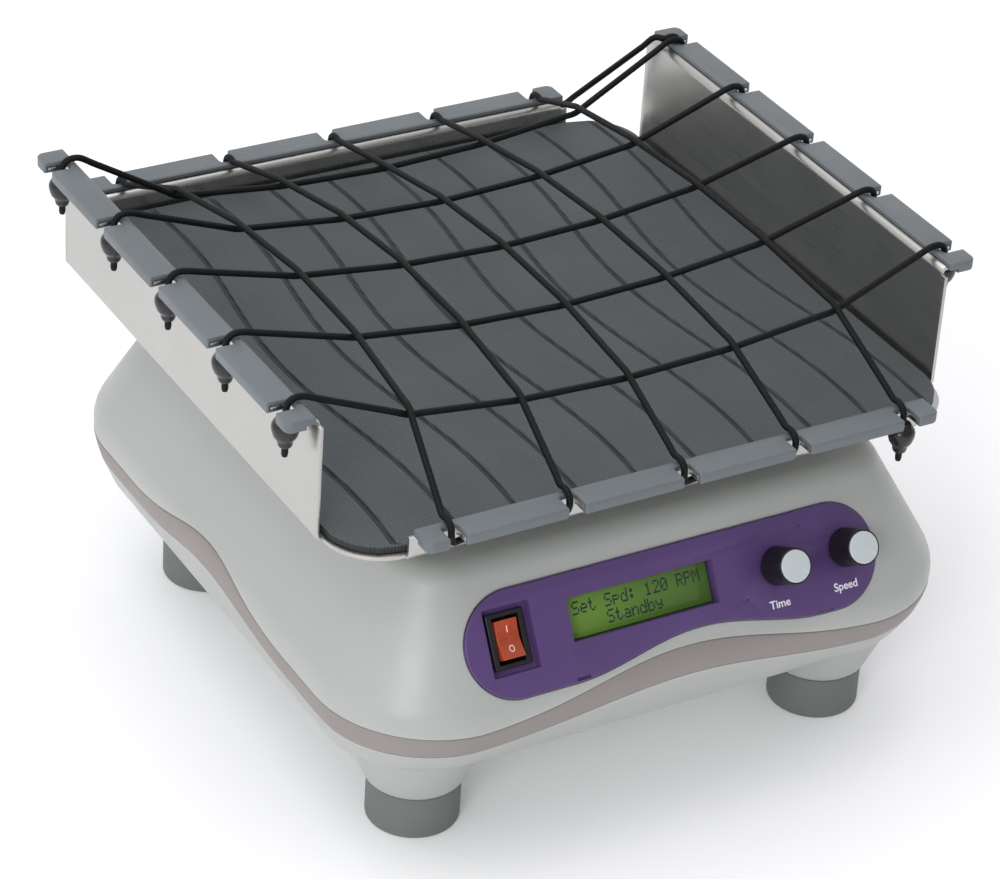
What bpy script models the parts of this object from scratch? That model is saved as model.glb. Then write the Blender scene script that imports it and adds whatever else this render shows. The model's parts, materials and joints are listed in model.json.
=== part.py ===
"""Orbital shaker: a bench shaker whose tray rides on a crank above a moulded two-part housing.

Lengths here are millimetres; every mesh and location is scaled to metres as it is made.
+Z is up, +X is to the right and the control panel faces -Y. The working frame is centred on the
tray at rest, on the floor; the last step slides the whole object so its bounding box is centred.
"""

import math

import bmesh
import bpy
from mathutils import Vector

MM = 0.001

# ---- tray and platform ----
TRAY_Z = 137.5
WALL_OUTER = 140.7
RAIL_OUTER = 154.3
SIDE_WALL_HEIGHT = 53.0
END_WALL_HEIGHT = 13.3
SHEET = 1.5
WALL_HALF_LENGTH = 115.1
FLANGE_HALF_LENGTH = 112.0
TRAY_CORNER_STEPS = 5
MAT_THICKNESS = 3.0
MAT_INSET = 2.4
GROOVE_COUNT = 10
GROOVE_PITCH = 26.9
GROOVE_WIDTH = 1.2
GROOVE_DEPTH = 0.8
GROOVE_SWING = 4.9
GROOVE_WAVE = 210.0

# ---- rails ----
NOTCH_PITCH = 50.8
NOTCH_COUNT = 5
NOTCH_GAP = 7.1
RAIL_HALF_LENGTH = 114.6
RAIL_WIDTH = 12.3
RAIL_SPINE = 3.4
RAIL_TOP_LEG = 1.8
RAIL_BOTTOM_LEG = 0.9
RAIL_WEB = 1.2

# ---- elastic cords ----
CORD_RADIUS = 1.5
CORD_DROP = 148.0
STRAND_OFFSET = 1.65
NET_HEIGHT = 36.7
NET_SIDE_RISE = 7.6
NET_END_FALL = 10.0
NET_TILT = 4.0
NET_PULL = 0.09
NET_CLEARANCE = 0.4
STOPPER_RADIUS = 5.5
STOPPER_LENGTH = 13.0

# ---- housing ----
HOUSING_BACK = 127.5
HALF_X = 138.0
HALF_Y = 147.5
HOUSING_Y = HOUSING_BACK - HALF_Y
CORNER_RADIUS = 50.0
WAIST_Z = 71.5
WAIST_BLEND = 4.0
LEAN = 0.6
SHELL_BOTTOM = 45.0
BOTTOM_INSET = 10.5
BOTTOM_SKEW = 0.25
DECK_Z = 126.0
DECK_EDGE_RADIUS = 12.0
WALL = 3.0
BAND_CORNER_TOP = 68.0
BAND_HEIGHT = 11.0
BAND_THICKNESS = 3.4
BAND_PROUD = 0.4
FRONT_RISE = 13.0
FRONT_RISE_HALF = 98.0
SIDE_RISE = 10.8
SIDE_RISE_HALF = 68.0
CORNER_STEPS = 6
SIDE_STEPS = 8
SEAM = 0.3

# ---- feet ----
FOOT_RADIUS = 19.0
FOOT_HEIGHT = 19.0
FOOT_INSET_SIDE = 43.0
FOOT_INSET_FRONT = 48.5
FOOT_INSET_BACK = 58.5
FOOT_X = HALF_X - FOOT_INSET_SIDE
FOOT_FRONT_Y = HOUSING_Y - HALF_Y + FOOT_INSET_FRONT
FOOT_BACK_Y = HOUSING_Y + HALF_Y - FOOT_INSET_BACK

# ---- control panel, measured in its own leaning frame ----
PANEL_X = -1.0
PANEL_Z = 97.4
PANEL_HALF_LENGTH = 93.0
PANEL_LOBE = 21.35
PANEL_WAVE = 8.3
PANEL_WAVE_X = 8.0
PANEL_WAVE_HALF = 58.0
PANEL_POCKET = 1.2
PANEL_PROUD = 1.0
WINDOW_SIZE = (65.8, 17.1)
WINDOW_AT = (-14.1, 2.8)
WINDOW_DEPTH = 5.2
SWITCH_AT = (-73.2, 1.9)
SWITCH_RECESS = (20.4, 26.5)
SWITCH_RECESS_DEPTH = 4.0
BEZEL_SIZE = (16.4, 22.0)
ROCKER_HALF = (5.4, 8.3)
ROCKER_TILT = 8.0
KNOB_XS = (46.9, 78.8)
KNOB_W = 2.0
KNOB_RADIUS = 8.9
KNOB_HEIGHT = 13.8
CAP_RADIUS = 7.2
SHAFT_RADIUS = 3.0
BUSHING_RADIUS = 3.4
HOLE_CLEARANCE = 0.4

# ---- drive ----
ECCENTRIC = 9.5
REST_ANGLE = 78.0
CRANK_SHAFT = 8.0
CRANK_PIN = 6.0
IDLER_PIN = 5.0
IDLER_REACH = 75.0
IDLER_ANGLES = (90.0, 210.0, 330.0)
RUNNING = 0.1
OPEN_PIVOT = 0.4
PULLEY_RADIUS = 42.0
MOTOR_PULLEY_RADIUS = 12.0
MOTOR_REACH = 80.6
MOTOR_ANGLE = 30.0
MOTOR_RADIUS = 27.0
BELT_Z = (86.2, 93.8)
BELT_THICKNESS = 2.0
POST_TOP = 105.0
POST_RADIUS = 10.0
BASE_PLATE_TOP = 49.9
PLATE_GAP_SIDE = 16.5
PLATE_GAP_END = 22.0
PLATE_CORNER = 24.0
BOARD_INSET = 55.5
FRAME_BOTTOM = BASE_PLATE_TOP + SEAM
CARRIER_Z = (133.2, 137.2)
CARRIER_HALF = 110.0
INLET_X = 60.0
INLET_Z = 99.0
INLET_SIZE = (30.0, 24.0)
ROUND = 24

LEAN_ANGLE = math.atan(LEAN)
PANEL_TILT = math.pi / 2 - LEAN_ANGLE
NOTCHES = [NOTCH_PITCH * (i - (NOTCH_COUNT - 1) / 2) for i in range(NOTCH_COUNT)]
PIN_X = ECCENTRIC * math.cos(math.radians(REST_ANGLE))
PIN_Y = ECCENTRIC * math.sin(math.radians(REST_ANGLE))
AXIS_X = -PIN_X
AXIS_Y = -PIN_Y

for existing in list(bpy.data.objects):
    bpy.data.objects.remove(existing, do_unlink=True)
PARTS = bpy.data.collections.new("orbital_shaker")
CUTTERS = bpy.data.collections.new("cutters")
bpy.context.scene.collection.children.link(PARTS)
bpy.context.scene.collection.children.link(CUTTERS)


# ---- helpers ----
def material(name, colour, roughness, metallic=0.0):
    made = bpy.data.materials.new(name)
    made.use_nodes = True
    shader = made.node_tree.nodes["Principled BSDF"]
    shader.inputs["Base Color"].default_value = (*colour, 1.0)
    shader.inputs["Roughness"].default_value = roughness
    shader.inputs["Metallic"].default_value = metallic
    return made


def empty(name, at, parent=None, rotation=(0.0, 0.0, 0.0)):
    made = bpy.data.objects.new(name, None)
    made.location = Vector(at) * MM
    made.rotation_euler = rotation
    made.parent = parent
    made.empty_display_size = 0.01
    PARTS.objects.link(made)
    return made


def add(name, data, look, parent, at=(0.0, 0.0, 0.0), rotation=(0.0, 0.0, 0.0)):
    made = bpy.data.objects.new(name, data)
    made.location = Vector(at) * MM
    made.rotation_euler = rotation
    made.parent = parent
    if look is None:
        CUTTERS.objects.link(made)
        made.hide_render = True
        made.display_type = "WIRE"
    else:
        PARTS.objects.link(made)
        if not data.materials:
            data.materials.append(look)
    return made


def mesh_from(bm, name, smooth=True):
    bmesh.ops.recalc_face_normals(bm, faces=bm.faces)
    bmesh.ops.scale(bm, vec=(MM, MM, MM), verts=bm.verts)
    data = bpy.data.meshes.new(name)
    bm.to_mesh(data)
    bm.free()
    if smooth:
        data.shade_smooth()
        data.set_sharp_from_angle(angle=math.radians(32))
    return data


def prism(outline, low, high):
    bm = bmesh.new()
    face = bm.faces.new([bm.verts.new((x, y, low)) for x, y in outline])
    top = bmesh.ops.extrude_face_region(bm, geom=[face])["geom"]
    moved = [item for item in top if isinstance(item, bmesh.types.BMVert)]
    bmesh.ops.translate(bm, vec=(0, 0, high - low), verts=moved)
    return bm


def block(size, centre):
    bm = bmesh.new()
    bmesh.ops.create_cube(bm, size=1.0)
    bmesh.ops.scale(bm, vec=size, verts=bm.verts)
    bmesh.ops.translate(bm, vec=centre, verts=bm.verts)
    return bm


def turned_mesh(name, profile, closed=False):
    """A profile of (radius, height) that runs down its outer side, for a Screw modifier."""
    bm = bmesh.new()
    points = [bm.verts.new((radius * MM, 0.0, height * MM)) for radius, height in profile]
    for start, end in zip(points, points[1:]):
        bm.edges.new((start, end))
    if closed:
        bm.edges.new((points[-1], points[0]))
    data = bpy.data.meshes.new(name)
    bm.to_mesh(data)
    bm.free()
    return data


def turn(made, steps=ROUND):
    screw = made.modifiers.new("turn", "SCREW")
    screw.steps = steps
    screw.render_steps = steps
    screw.use_merge_vertices = True
    screw.merge_threshold = 0.00001
    screw.use_smooth_shade = True
    return made


def turned(name, profile, look, parent, at=(0.0, 0.0, 0.0), closed=False, steps=ROUND):
    return turn(add(name, turned_mesh(name, profile, closed), look, parent, at), steps)


def bevel(made, width, segments=2):
    edge = made.modifiers.new("edges", "BEVEL")
    edge.width = width * MM
    edge.segments = segments
    edge.limit_method = "ANGLE"
    edge.angle_limit = math.radians(40)


def combine(made, other, operation):
    step = made.modifiers.new(other.name, "BOOLEAN")
    step.operation = operation
    step.object = other


def cut(made, other):
    combine(made, other, "DIFFERENCE")


def join(made, other):
    combine(made, other, "UNION")


def helper_block(name, size, centre, parent, at=(0.0, 0.0, 0.0)):
    return add(name, mesh_from(block(size, centre), name, False), None, parent, at)


def helper_rod(name, radius, low, high, parent, at=(0.0, 0.0, 0.0), steps=ROUND):
    profile = [(0.0, high), (radius, high), (radius, low), (0.0, low)]
    return turned(name, profile, None, parent, at, steps=steps)


def bump(t):
    return 0.5 * (1.0 + math.cos(math.pi * min(abs(t), 1.0)))


def rounded_rectangle(half_x, half_y, radius, steps):
    points = []
    for quarter in range(4):
        side_x = 1 if quarter in (0, 3) else -1
        side_y = 1 if quarter in (0, 1) else -1
        for step in range(steps + 1):
            angle = math.radians(90.0 * (quarter + step / steps))
            x = side_x * (half_x - radius) + radius * math.cos(angle)
            y = side_y * (half_y - radius) + radius * math.sin(angle)
            points.append((x, y))
    return points


ROOT = empty("shaker_frame", (0.0, 0.0, 0.0))
HOUSING = empty("housing_frame", (AXIS_X, HOUSING_Y, 0.0), ROOT)

LIGHT_PLASTIC = material("housing_plastic", (0.56, 0.57, 0.55), 0.45)
TAUPE_PLASTIC = material("band_plastic", (0.26, 0.23, 0.225), 0.5)
FOOT_RUBBER = material("foot_rubber", (0.16, 0.175, 0.165), 0.75)
RAIL_PLASTIC = material("rail_plastic", (0.2, 0.23, 0.25), 0.45)
MAT_RUBBER = material("mat_rubber", (0.09, 0.105, 0.115), 0.8)
STEEL = material("stainless_sheet", (0.72, 0.71, 0.69), 0.3, 1.0)
CORD_ELASTIC = material("cord_elastic", (0.015, 0.017, 0.02), 0.7)
STOPPER_RUBBER = material("stopper_rubber", (0.02, 0.02, 0.022), 0.5)
PANEL_PURPLE = material("panel_plastic", (0.11, 0.055, 0.2), 0.35)
DARK_PLASTIC = material("dark_plastic", (0.02, 0.02, 0.022), 0.4)
CAP_PLASTIC = material("cap_plastic", (0.62, 0.66, 0.68), 0.4)
ROCKER_PLASTIC = material("rocker_plastic", (0.6, 0.09, 0.03), 0.25)
DISPLAY_GREEN = material("display_green", (0.2, 0.36, 0.03), 0.25)
BOARD_GREEN = material("board_laminate", (0.02, 0.14, 0.05), 0.5)
CAST_ALLOY = material("cast_alloy", (0.6, 0.61, 0.62), 0.45, 1.0)
MACHINED_STEEL = material("machined_steel", (0.55, 0.55, 0.56), 0.3, 1.0)
MOTOR_STEEL = material("motor_steel", (0.35, 0.36, 0.37), 0.4, 1.0)
BELT_RUBBER = material("belt_rubber", (0.02, 0.02, 0.02), 0.8)


# ---- housing ----
def housing_outline():
    """Points round the widest outline, each with its outward normal."""
    points = []
    centre_x = HALF_X - CORNER_RADIUS
    centre_y = HALF_Y - CORNER_RADIUS
    for quarter in range(4):
        side_x = 1 if quarter in (0, 3) else -1
        side_y = 1 if quarter in (0, 1) else -1
        centre = Vector((side_x * centre_x, side_y * centre_y))
        for step in range(CORNER_STEPS + 1):
            angle = math.radians(90.0 * (quarter + step / CORNER_STEPS))
            normal = Vector((math.cos(angle), math.sin(angle)))
            points.append((centre + CORNER_RADIUS * normal, normal))
        start, normal = points[-1]
        along = Vector((-normal.y, normal.x))
        length = 2.0 * (centre_x if quarter in (0, 2) else centre_y)
        for step in range(1, SIDE_STEPS):
            points.append((start + along * length * step / SIDE_STEPS, normal))
    return points


OUTLINE = housing_outline()


def band_top(point):
    front = FRONT_RISE * bump(point.x / FRONT_RISE_HALF)
    side = SIDE_RISE * bump(point.y / SIDE_RISE_HALF)
    return BAND_CORNER_TOP + front + side


def inset(z):
    """How far the skin stands in from the widest outline at this height."""
    if z < WAIST_Z:
        return BOTTOM_INSET * ((WAIST_Z - z) / (WAIST_Z - SHELL_BOTTOM)) ** 1.6
    if z < WAIST_Z + 2.0 * WAIST_BLEND:
        return LEAN * (z - WAIST_Z) ** 2 / (4.0 * WAIST_BLEND)
    return LEAN * (z - WAIST_Z - WAIST_BLEND)


def skin_ring(bm, height_at, out, extra_inset=0.0):
    """A ring on the skin; below the waist the ends draw in more than the sides."""
    ring = []
    for point, normal in OUTLINE:
        z = height_at(point)
        draw = inset(z)
        if z < WAIST_Z:
            draw *= 1.0 + BOTTOM_SKEW * (normal.y**2 - normal.x**2)
        place = point + normal * (out - draw - extra_inset)
        ring.append(bm.verts.new((place.x, place.y, z)))
    return ring


def flat_ring(bm, distance, z):
    ring = []
    for point, normal in OUTLINE:
        place = point - normal * distance
        ring.append(bm.verts.new((place.x, place.y, z)))
    return ring


def bridge(bm, rings):
    for low, high in zip(rings, rings[1:]):
        count = len(low)
        for i in range(count):
            j = (i + 1) % count
            bm.faces.new((low[i], low[j], high[j], high[i]))


def shell_face_y(z):
    """Where the front face stands at this height; the back face is its mirror image."""
    return HALF_Y - inset(z)


def upper_shell_mesh():
    bm = bmesh.new()
    low_level = BAND_CORNER_TOP + FRONT_RISE + 4.0
    edge_z = DECK_Z - DECK_EDGE_RADIUS
    tangent_z = edge_z + DECK_EDGE_RADIUS * math.sin(LEAN_ANGLE)
    edge_inset = DECK_EDGE_RADIUS * math.cos(LEAN_ANGLE) + inset(tangent_z)
    side = WALL / math.cos(LEAN_ANGLE)
    heights = [
        lambda p: band_top(p) + SEAM,
        lambda p: 0.5 * (band_top(p) + SEAM + low_level),
        lambda p: low_level,
        lambda p: low_level + 14.0,
    ]
    angles = [LEAN_ANGLE + (math.pi / 2 - LEAN_ANGLE) * step / 3 for step in range(4)]
    faces = []
    for thickness, out in ((0.0, 0.0), (WALL, -side)):
        radius = DECK_EDGE_RADIUS - thickness
        rings = [skin_ring(bm, height, out) for height in heights]
        for angle in angles:
            distance = edge_inset - radius * math.cos(angle)
            rings.append(flat_ring(bm, distance, edge_z + radius * math.sin(angle)))
        bridge(bm, rings)
        bm.faces.new(rings[-1])
        faces.append(rings)
    bridge(bm, [faces[0][0], faces[1][0]])
    return mesh_from(bm, "upper_shell")


def lower_shell_mesh():
    bm = bmesh.new()
    floor = SHELL_BOTTOM + WALL

    def rim(point):
        return band_top(point) - BAND_HEIGHT - SEAM

    outer = [
        skin_ring(bm, lambda p: SHELL_BOTTOM, 0.0, 1.6),
        skin_ring(bm, lambda p: SHELL_BOTTOM + 1.4, 0.0),
        skin_ring(bm, lambda p: 0.5 * (SHELL_BOTTOM + 1.4 + rim(p)), 0.0),
        skin_ring(bm, rim, 0.0),
    ]
    inner = [
        skin_ring(bm, rim, -WALL),
        skin_ring(bm, lambda p: 0.5 * (floor + rim(p)), -WALL),
        skin_ring(bm, lambda p: floor, -WALL),
    ]
    bridge(bm, outer + inner)
    bm.faces.new(outer[0])
    bm.faces.new(inner[-1])
    return mesh_from(bm, "lower_shell")


def band_mesh():
    bm = bmesh.new()

    def high(point):
        return band_top(point)

    def low(point):
        return band_top(point) - BAND_HEIGHT

    rings = [
        skin_ring(bm, low, BAND_PROUD - 0.3),
        skin_ring(bm, lambda p: low(p) + 1.0, BAND_PROUD),
        skin_ring(bm, lambda p: high(p) - 1.0, BAND_PROUD),
        skin_ring(bm, high, BAND_PROUD - 0.3),
        skin_ring(bm, high, BAND_PROUD - BAND_THICKNESS),
        skin_ring(bm, low, BAND_PROUD - BAND_THICKNESS),
    ]
    bridge(bm, rings + rings[:1])
    return mesh_from(bm, "trim_band")


upper_shell = add("upper_shell", upper_shell_mesh(), LIGHT_PLASTIC, HOUSING)
lower_shell = add("lower_shell", lower_shell_mesh(), LIGHT_PLASTIC, HOUSING)
add("trim_band", band_mesh(), TAUPE_PLASTIC, HOUSING)

FEET = [
    ("front_left", -FOOT_X, FOOT_FRONT_Y),
    ("front_right", FOOT_X, FOOT_FRONT_Y),
    ("back_left", -FOOT_X, FOOT_BACK_Y),
    ("back_right", FOOT_X, FOOT_BACK_Y),
]
LEG_TOP = SHELL_BOTTOM + 0.5 * WALL
LEG_BOTTOM = FOOT_HEIGHT + SEAM
LEG_PROFILE = [
    (0.0, LEG_TOP),
    (FOOT_RADIUS + 12.0, LEG_TOP),
    (FOOT_RADIUS + 11.2, SHELL_BOTTOM - 0.5),
    (FOOT_RADIUS + 7.2, SHELL_BOTTOM - 5.5),
    (FOOT_RADIUS + 3.6, SHELL_BOTTOM - 13.5),
    (FOOT_RADIUS + 1.0, LEG_BOTTOM + 1.2),
    (FOOT_RADIUS + 0.2, LEG_BOTTOM),
    (0.0, LEG_BOTTOM),
]
FOOT_PROFILE = [
    (0.0, FOOT_HEIGHT),
    (FOOT_RADIUS - 0.8, FOOT_HEIGHT),
    (FOOT_RADIUS, FOOT_HEIGHT - 0.8),
    (FOOT_RADIUS, 1.2),
    (FOOT_RADIUS - 1.2, 0.0),
    (6.0, 0.0),
    (6.0, 6.0),
    (0.0, 6.0),
]
for corner, foot_x, foot_y in FEET:
    join(lower_shell, turned("leg_" + corner, LEG_PROFILE, None, ROOT, (foot_x, foot_y, 0.0)))
    turned("foot_" + corner, FOOT_PROFILE, FOOT_RUBBER, ROOT, (foot_x, foot_y, 0.0))


# ---- control panel ----
PANEL_Y = -shell_face_y(PANEL_Z)
panel_frame = empty("panel_frame", (PANEL_X, PANEL_Y, PANEL_Z), HOUSING, (PANEL_TILT, 0.0, 0.0))


def panel_outline(grow):
    lobe_x = PANEL_HALF_LENGTH - PANEL_LOBE
    radius = PANEL_LOBE + grow
    points = []
    for step in range(13):
        angle = math.radians(-90.0 + 15.0 * step)
        points.append((lobe_x + radius * math.cos(angle), radius * math.sin(angle)))
    for step in range(13):
        angle = math.radians(90.0 + 15.0 * step)
        points.append((-lobe_x + radius * math.cos(angle), radius * math.sin(angle)))
    for step in range(1, 24):
        x = -lobe_x + 2.0 * lobe_x * step / 24
        rise = PANEL_WAVE * bump((x - PANEL_WAVE_X) / PANEL_WAVE_HALF)
        points.append((x, rise - radius))
    return points


pocket = mesh_from(prism(panel_outline(HOLE_CLEARANCE), -PANEL_POCKET, 12.0), "panel_pocket")
cut(upper_shell, add("panel_pocket", pocket, None, panel_frame))

plate_back = SEAM - PANEL_POCKET
plate = mesh_from(prism(panel_outline(0.0), plate_back, PANEL_PROUD), "control_panel")
control_panel = add("control_panel", plate, PANEL_PURPLE, panel_frame)
bevel(control_panel, 0.4, 1)

WINDOW_CENTRE = (*WINDOW_AT, 0.0)
SWITCH_CENTRE = (*SWITCH_AT, 0.0)
COLLAR = 1.5
COLLAR_BACK = PANEL_PROUD - WINDOW_DEPTH - 1.0
RECESS_FLOOR = PANEL_PROUD - SWITCH_RECESS_DEPTH
RECESS_BACK = RECESS_FLOOR - 1.2


def well(size, grow, low, high, name, at):
    x = size[0] + 2.0 * grow
    y = size[1] + 2.0 * grow
    middle = 0.5 * (low + high)
    return helper_block(name, (x, y, high - low), (0.0, 0.0, middle), panel_frame, at)


collar_top = plate_back + 0.6
join(control_panel, well(WINDOW_SIZE, COLLAR, COLLAR_BACK, collar_top, "window_collar", WINDOW_CENTRE))
join(control_panel, well(SWITCH_RECESS, COLLAR, RECESS_BACK, collar_top, "switch_well", SWITCH_CENTRE))
cut(control_panel, well(WINDOW_SIZE, 0.0, -20.0, 20.0, "window_cut", WINDOW_CENTRE))
cut(control_panel, well(SWITCH_RECESS, 0.0, RECESS_FLOOR, 20.0, "recess_cut", SWITCH_CENTRE))
BODY_SIZE = (BEZEL_SIZE[0] - 2.8, BEZEL_SIZE[1] - 2.0)
cut(control_panel, well(BODY_SIZE, HOLE_CLEARANCE, -20.0, 20.0, "body_cut", SWITCH_CENTRE))
opening = COLLAR + HOLE_CLEARANCE
cut(upper_shell, well(WINDOW_SIZE, opening, -20.0, 5.0, "window_opening", WINDOW_CENTRE))
cut(upper_shell, well(SWITCH_RECESS, opening, -20.0, 5.0, "switch_opening", SWITCH_CENTRE))

GLASS_TOP = PANEL_PROUD - WINDOW_DEPTH
glass_size = (WINDOW_SIZE[0] - 2.0 * HOLE_CLEARANCE, WINDOW_SIZE[1] - 2.0 * HOLE_CLEARANCE, 1.0)
glass = mesh_from(block(glass_size, (0.0, 0.0, GLASS_TOP - 0.5)), "display_glass", False)
display_glass = add("display_glass", glass, DISPLAY_GREEN, panel_frame, WINDOW_CENTRE)
bevel(display_glass, 0.2, 1)
MODULE_TOP = COLLAR_BACK - SEAM
board = block((80.0, 36.0, 1.6), (0.0, 0.0, MODULE_TOP - 4.3))
display_module = add(
    "display_module", mesh_from(board, "display_module", False), BOARD_GREEN, panel_frame, WINDOW_CENTRE
)
frame_block = helper_block(
    "display_frame", (71.0, 25.0, 4.0), (0.0, 0.0, MODULE_TOP - 2.0), panel_frame, WINDOW_CENTRE
)
join(display_module, frame_block)
header = helper_block(
    "display_header", (40.0, 2.5, 3.0), (-14.0, 15.5, MODULE_TOP - 6.1), panel_frame, WINDOW_CENTRE
)
join(display_module, header)


# ---- rocker switch ----
BEZEL_BACK = RECESS_FLOOR + SEAM
BEZEL_FACE = BEZEL_BACK + 1.8
bezel = block((*BEZEL_SIZE, 1.8), (0.0, 0.0, BEZEL_BACK + 0.9))
switch_body = add(
    "switch_body", mesh_from(bezel, "switch_body", False), DARK_PLASTIC, panel_frame, SWITCH_CENTRE
)
bevel(switch_body, 0.5)
switch_depth = 18.0
case = (*BODY_SIZE, switch_depth)
case_centre = (0.0, 0.0, BEZEL_BACK - 0.5 * switch_depth + 0.9)
join(switch_body, helper_block("switch_case", case, case_centre, panel_frame, SWITCH_CENTRE))
ROCKER_GAP = (0.4, 0.9)
pocket_size = (2.0 * (ROCKER_HALF[0] + ROCKER_GAP[0]), 2.0 * (ROCKER_HALF[1] + ROCKER_GAP[1]), 30.0)
cut(
    switch_body,
    helper_block("rocker_pocket", pocket_size, (0.0, 0.0, BEZEL_FACE + 3.0), panel_frame, SWITCH_CENTRE),
)
for lug, lug_y in enumerate((-5.5, 0.0, 5.5)):
    lug_centre = (0.0, lug_y, BEZEL_BACK - switch_depth - 2.0)
    lug_name = "switch_lug_" + str(lug)
    join(switch_body, helper_block(lug_name, (4.8, 0.8, 7.0), lug_centre, panel_frame, SWITCH_CENTRE))

ROCKER_PIVOT_Z = BEZEL_FACE - 1.2
rocker_axis = empty("rocker_axis", (*SWITCH_AT, ROCKER_PIVOT_Z), panel_frame)


def rocker_mesh():
    """The rocker's side outline, swept across its width and already tilted to its on side."""
    half_x, half_y = ROCKER_HALF
    outline = [
        (-half_y, 3.0),
        (-half_y, -1.0),
        (-half_y + 2.6, -4.5),
        (0.0, -6.4),
        (half_y - 2.6, -4.5),
        (half_y, -1.0),
        (half_y, 3.0),
        (0.5 * half_y, 1.5),
        (0.0, 1.0),
        (-0.5 * half_y, 1.5),
    ]
    tilt = math.radians(-ROCKER_TILT)
    bm = bmesh.new()
    ends = []
    for x in (-half_x, half_x):
        ring = []
        for y, z in outline:
            turned_y = y * math.cos(tilt) - z * math.sin(tilt)
            turned_z = y * math.sin(tilt) + z * math.cos(tilt)
            ring.append(bm.verts.new((x, turned_y, turned_z)))
        ends.append(ring)
        bm.faces.new(ring)
    bridge(bm, ends)
    return mesh_from(bm, "switch_rocker", False)


switch_rocker = add("switch_rocker", rocker_mesh(), ROCKER_PLASTIC, rocker_axis)
bevel(switch_rocker, 0.35, 1)


# ---- knobs and encoders ----
KNOB_BOTTOM = PANEL_PROUD + 0.6
KNOB_TOP = KNOB_BOTTOM + KNOB_HEIGHT
SHAFT_TOP = KNOB_TOP - 4.0
BORE = SHAFT_RADIUS + RUNNING
KNOB_PROFILE = [
    (0.0, KNOB_TOP - 0.9),
    (CAP_RADIUS + 0.2, KNOB_TOP - 0.9),
    (CAP_RADIUS + 0.2, KNOB_TOP),
    (KNOB_RADIUS - 1.0, KNOB_TOP),
    (KNOB_RADIUS - 0.6, KNOB_TOP - 0.6),
    (KNOB_RADIUS, KNOB_BOTTOM),
    (BUSHING_RADIUS + 1.6, KNOB_BOTTOM),
    (BUSHING_RADIUS + 1.6, KNOB_BOTTOM + 3.2),
    (BORE, KNOB_BOTTOM + 3.2),
    (BORE, SHAFT_TOP + SEAM),
    (0.0, SHAFT_TOP + SEAM),
]
CAP_PROFILE = [
    (0.0, KNOB_TOP + 0.5),
    (CAP_RADIUS - 0.4, KNOB_TOP + 0.5),
    (CAP_RADIUS, KNOB_TOP + 0.1),
    (CAP_RADIUS, KNOB_TOP - 0.6),
    (0.0, KNOB_TOP - 0.6),
]
ENCODER_PROFILE = [
    (0.0, SHAFT_TOP),
    (SHAFT_RADIUS, SHAFT_TOP),
    (SHAFT_RADIUS, KNOB_BOTTOM + 2.4),
    (BUSHING_RADIUS, KNOB_BOTTOM + 2.4),
    (BUSHING_RADIUS, -WALL - 2.0),
    (0.0, -WALL - 2.0),
]
for label, knob_x in zip(("time", "speed"), KNOB_XS):
    knob_axis = empty(label + "_axis", (knob_x, KNOB_W, 0.0), panel_frame)
    turned("knob_" + label, KNOB_PROFILE, DARK_PLASTIC, knob_axis)
    turned("knob_cap_" + label, CAP_PROFILE, CAP_PLASTIC, knob_axis)
    encoder = turned("encoder_" + label, ENCODER_PROFILE, MACHINED_STEEL, knob_axis)
    case_name = "encoder_case_" + label
    encoder_case = (0.0, 0.0, -WALL - SEAM - 3.2)
    join(encoder, helper_block(case_name, (12.0, 12.0, 6.4), encoder_case, knob_axis))
    hole = BUSHING_RADIUS + HOLE_CLEARANCE
    bore_through = helper_rod("encoder_hole_" + label, hole, -30.0, 30.0, knob_axis)
    cut(control_panel, bore_through)
    cut(upper_shell, bore_through)


# ---- power inlet ----
INLET_Y = shell_face_y(INLET_Z - 0.5 * INLET_SIZE[1] - 1.0) + 0.8
inlet_frame = empty("inlet_frame", (INLET_X, INLET_Y, INLET_Z), HOUSING)
inlet_depth = 32.0
shroud = block((INLET_SIZE[0], inlet_depth, INLET_SIZE[1]), (0.0, -0.5 * inlet_depth, 0.0))
power_inlet = add("power_inlet", mesh_from(shroud, "power_inlet", False), DARK_PLASTIC, inlet_frame)
bevel(power_inlet, 1.0)
socket_size = (23.0, 15.0, 16.5)
socket = helper_block(
    "socket_cut",
    (socket_size[0], 2.0 * socket_size[1], socket_size[2]),
    (0.0, 0.0, 0.0),
    inlet_frame,
)
cut(power_inlet, socket)
for blade, (blade_x, blade_z) in enumerate(((-7.0, -2.0), (0.0, 2.5), (7.0, -2.0))):
    blade_name = "inlet_blade_" + str(blade)
    blade_centre = (blade_x, -socket_size[1] + 3.5, blade_z)
    join(power_inlet, helper_block(blade_name, (2.0, 9.0, 4.0), blade_centre, inlet_frame))
inlet_hole = (INLET_SIZE[0] + 2.0 * HOLE_CLEARANCE, 80.0, INLET_SIZE[1] + 2.0 * HOLE_CLEARANCE)
cut(upper_shell, helper_block("inlet_hole", inlet_hole, (0.0, 0.0, 0.0), inlet_frame))


# ---- base plate, bearing frame and motor ----
drive_axis = empty("drive_axis", (AXIS_X, AXIS_Y, 0.0), ROOT)
plate_outline = rounded_rectangle(
    HALF_X - BOTTOM_INSET - WALL - PLATE_GAP_SIDE,
    HALF_Y - BOTTOM_INSET - WALL - PLATE_GAP_END,
    PLATE_CORNER,
    5,
)
base = mesh_from(prism(plate_outline, SHELL_BOTTOM + WALL + SEAM, BASE_PLATE_TOP), "base_plate")
add("base_plate", base, STEEL, HOUSING)


def polar(reach, degrees):
    angle = math.radians(degrees)
    return (reach * math.cos(angle), reach * math.sin(angle))


def cup(radius, bore, low, high, floor):
    """A post with a blind bore that opens upwards, as a profile from axis to axis."""
    return [(0.0, floor), (bore, floor), (bore, high), (radius, high), (radius, low), (0.0, low)]


def socket_down(radius, bore, low, high, ceiling):
    """A boss with a blind bore that opens downwards, as a profile from axis to axis."""
    return [(0.0, high), (radius, high), (radius, low), (bore, low), (bore, ceiling), (0.0, ceiling)]


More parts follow.
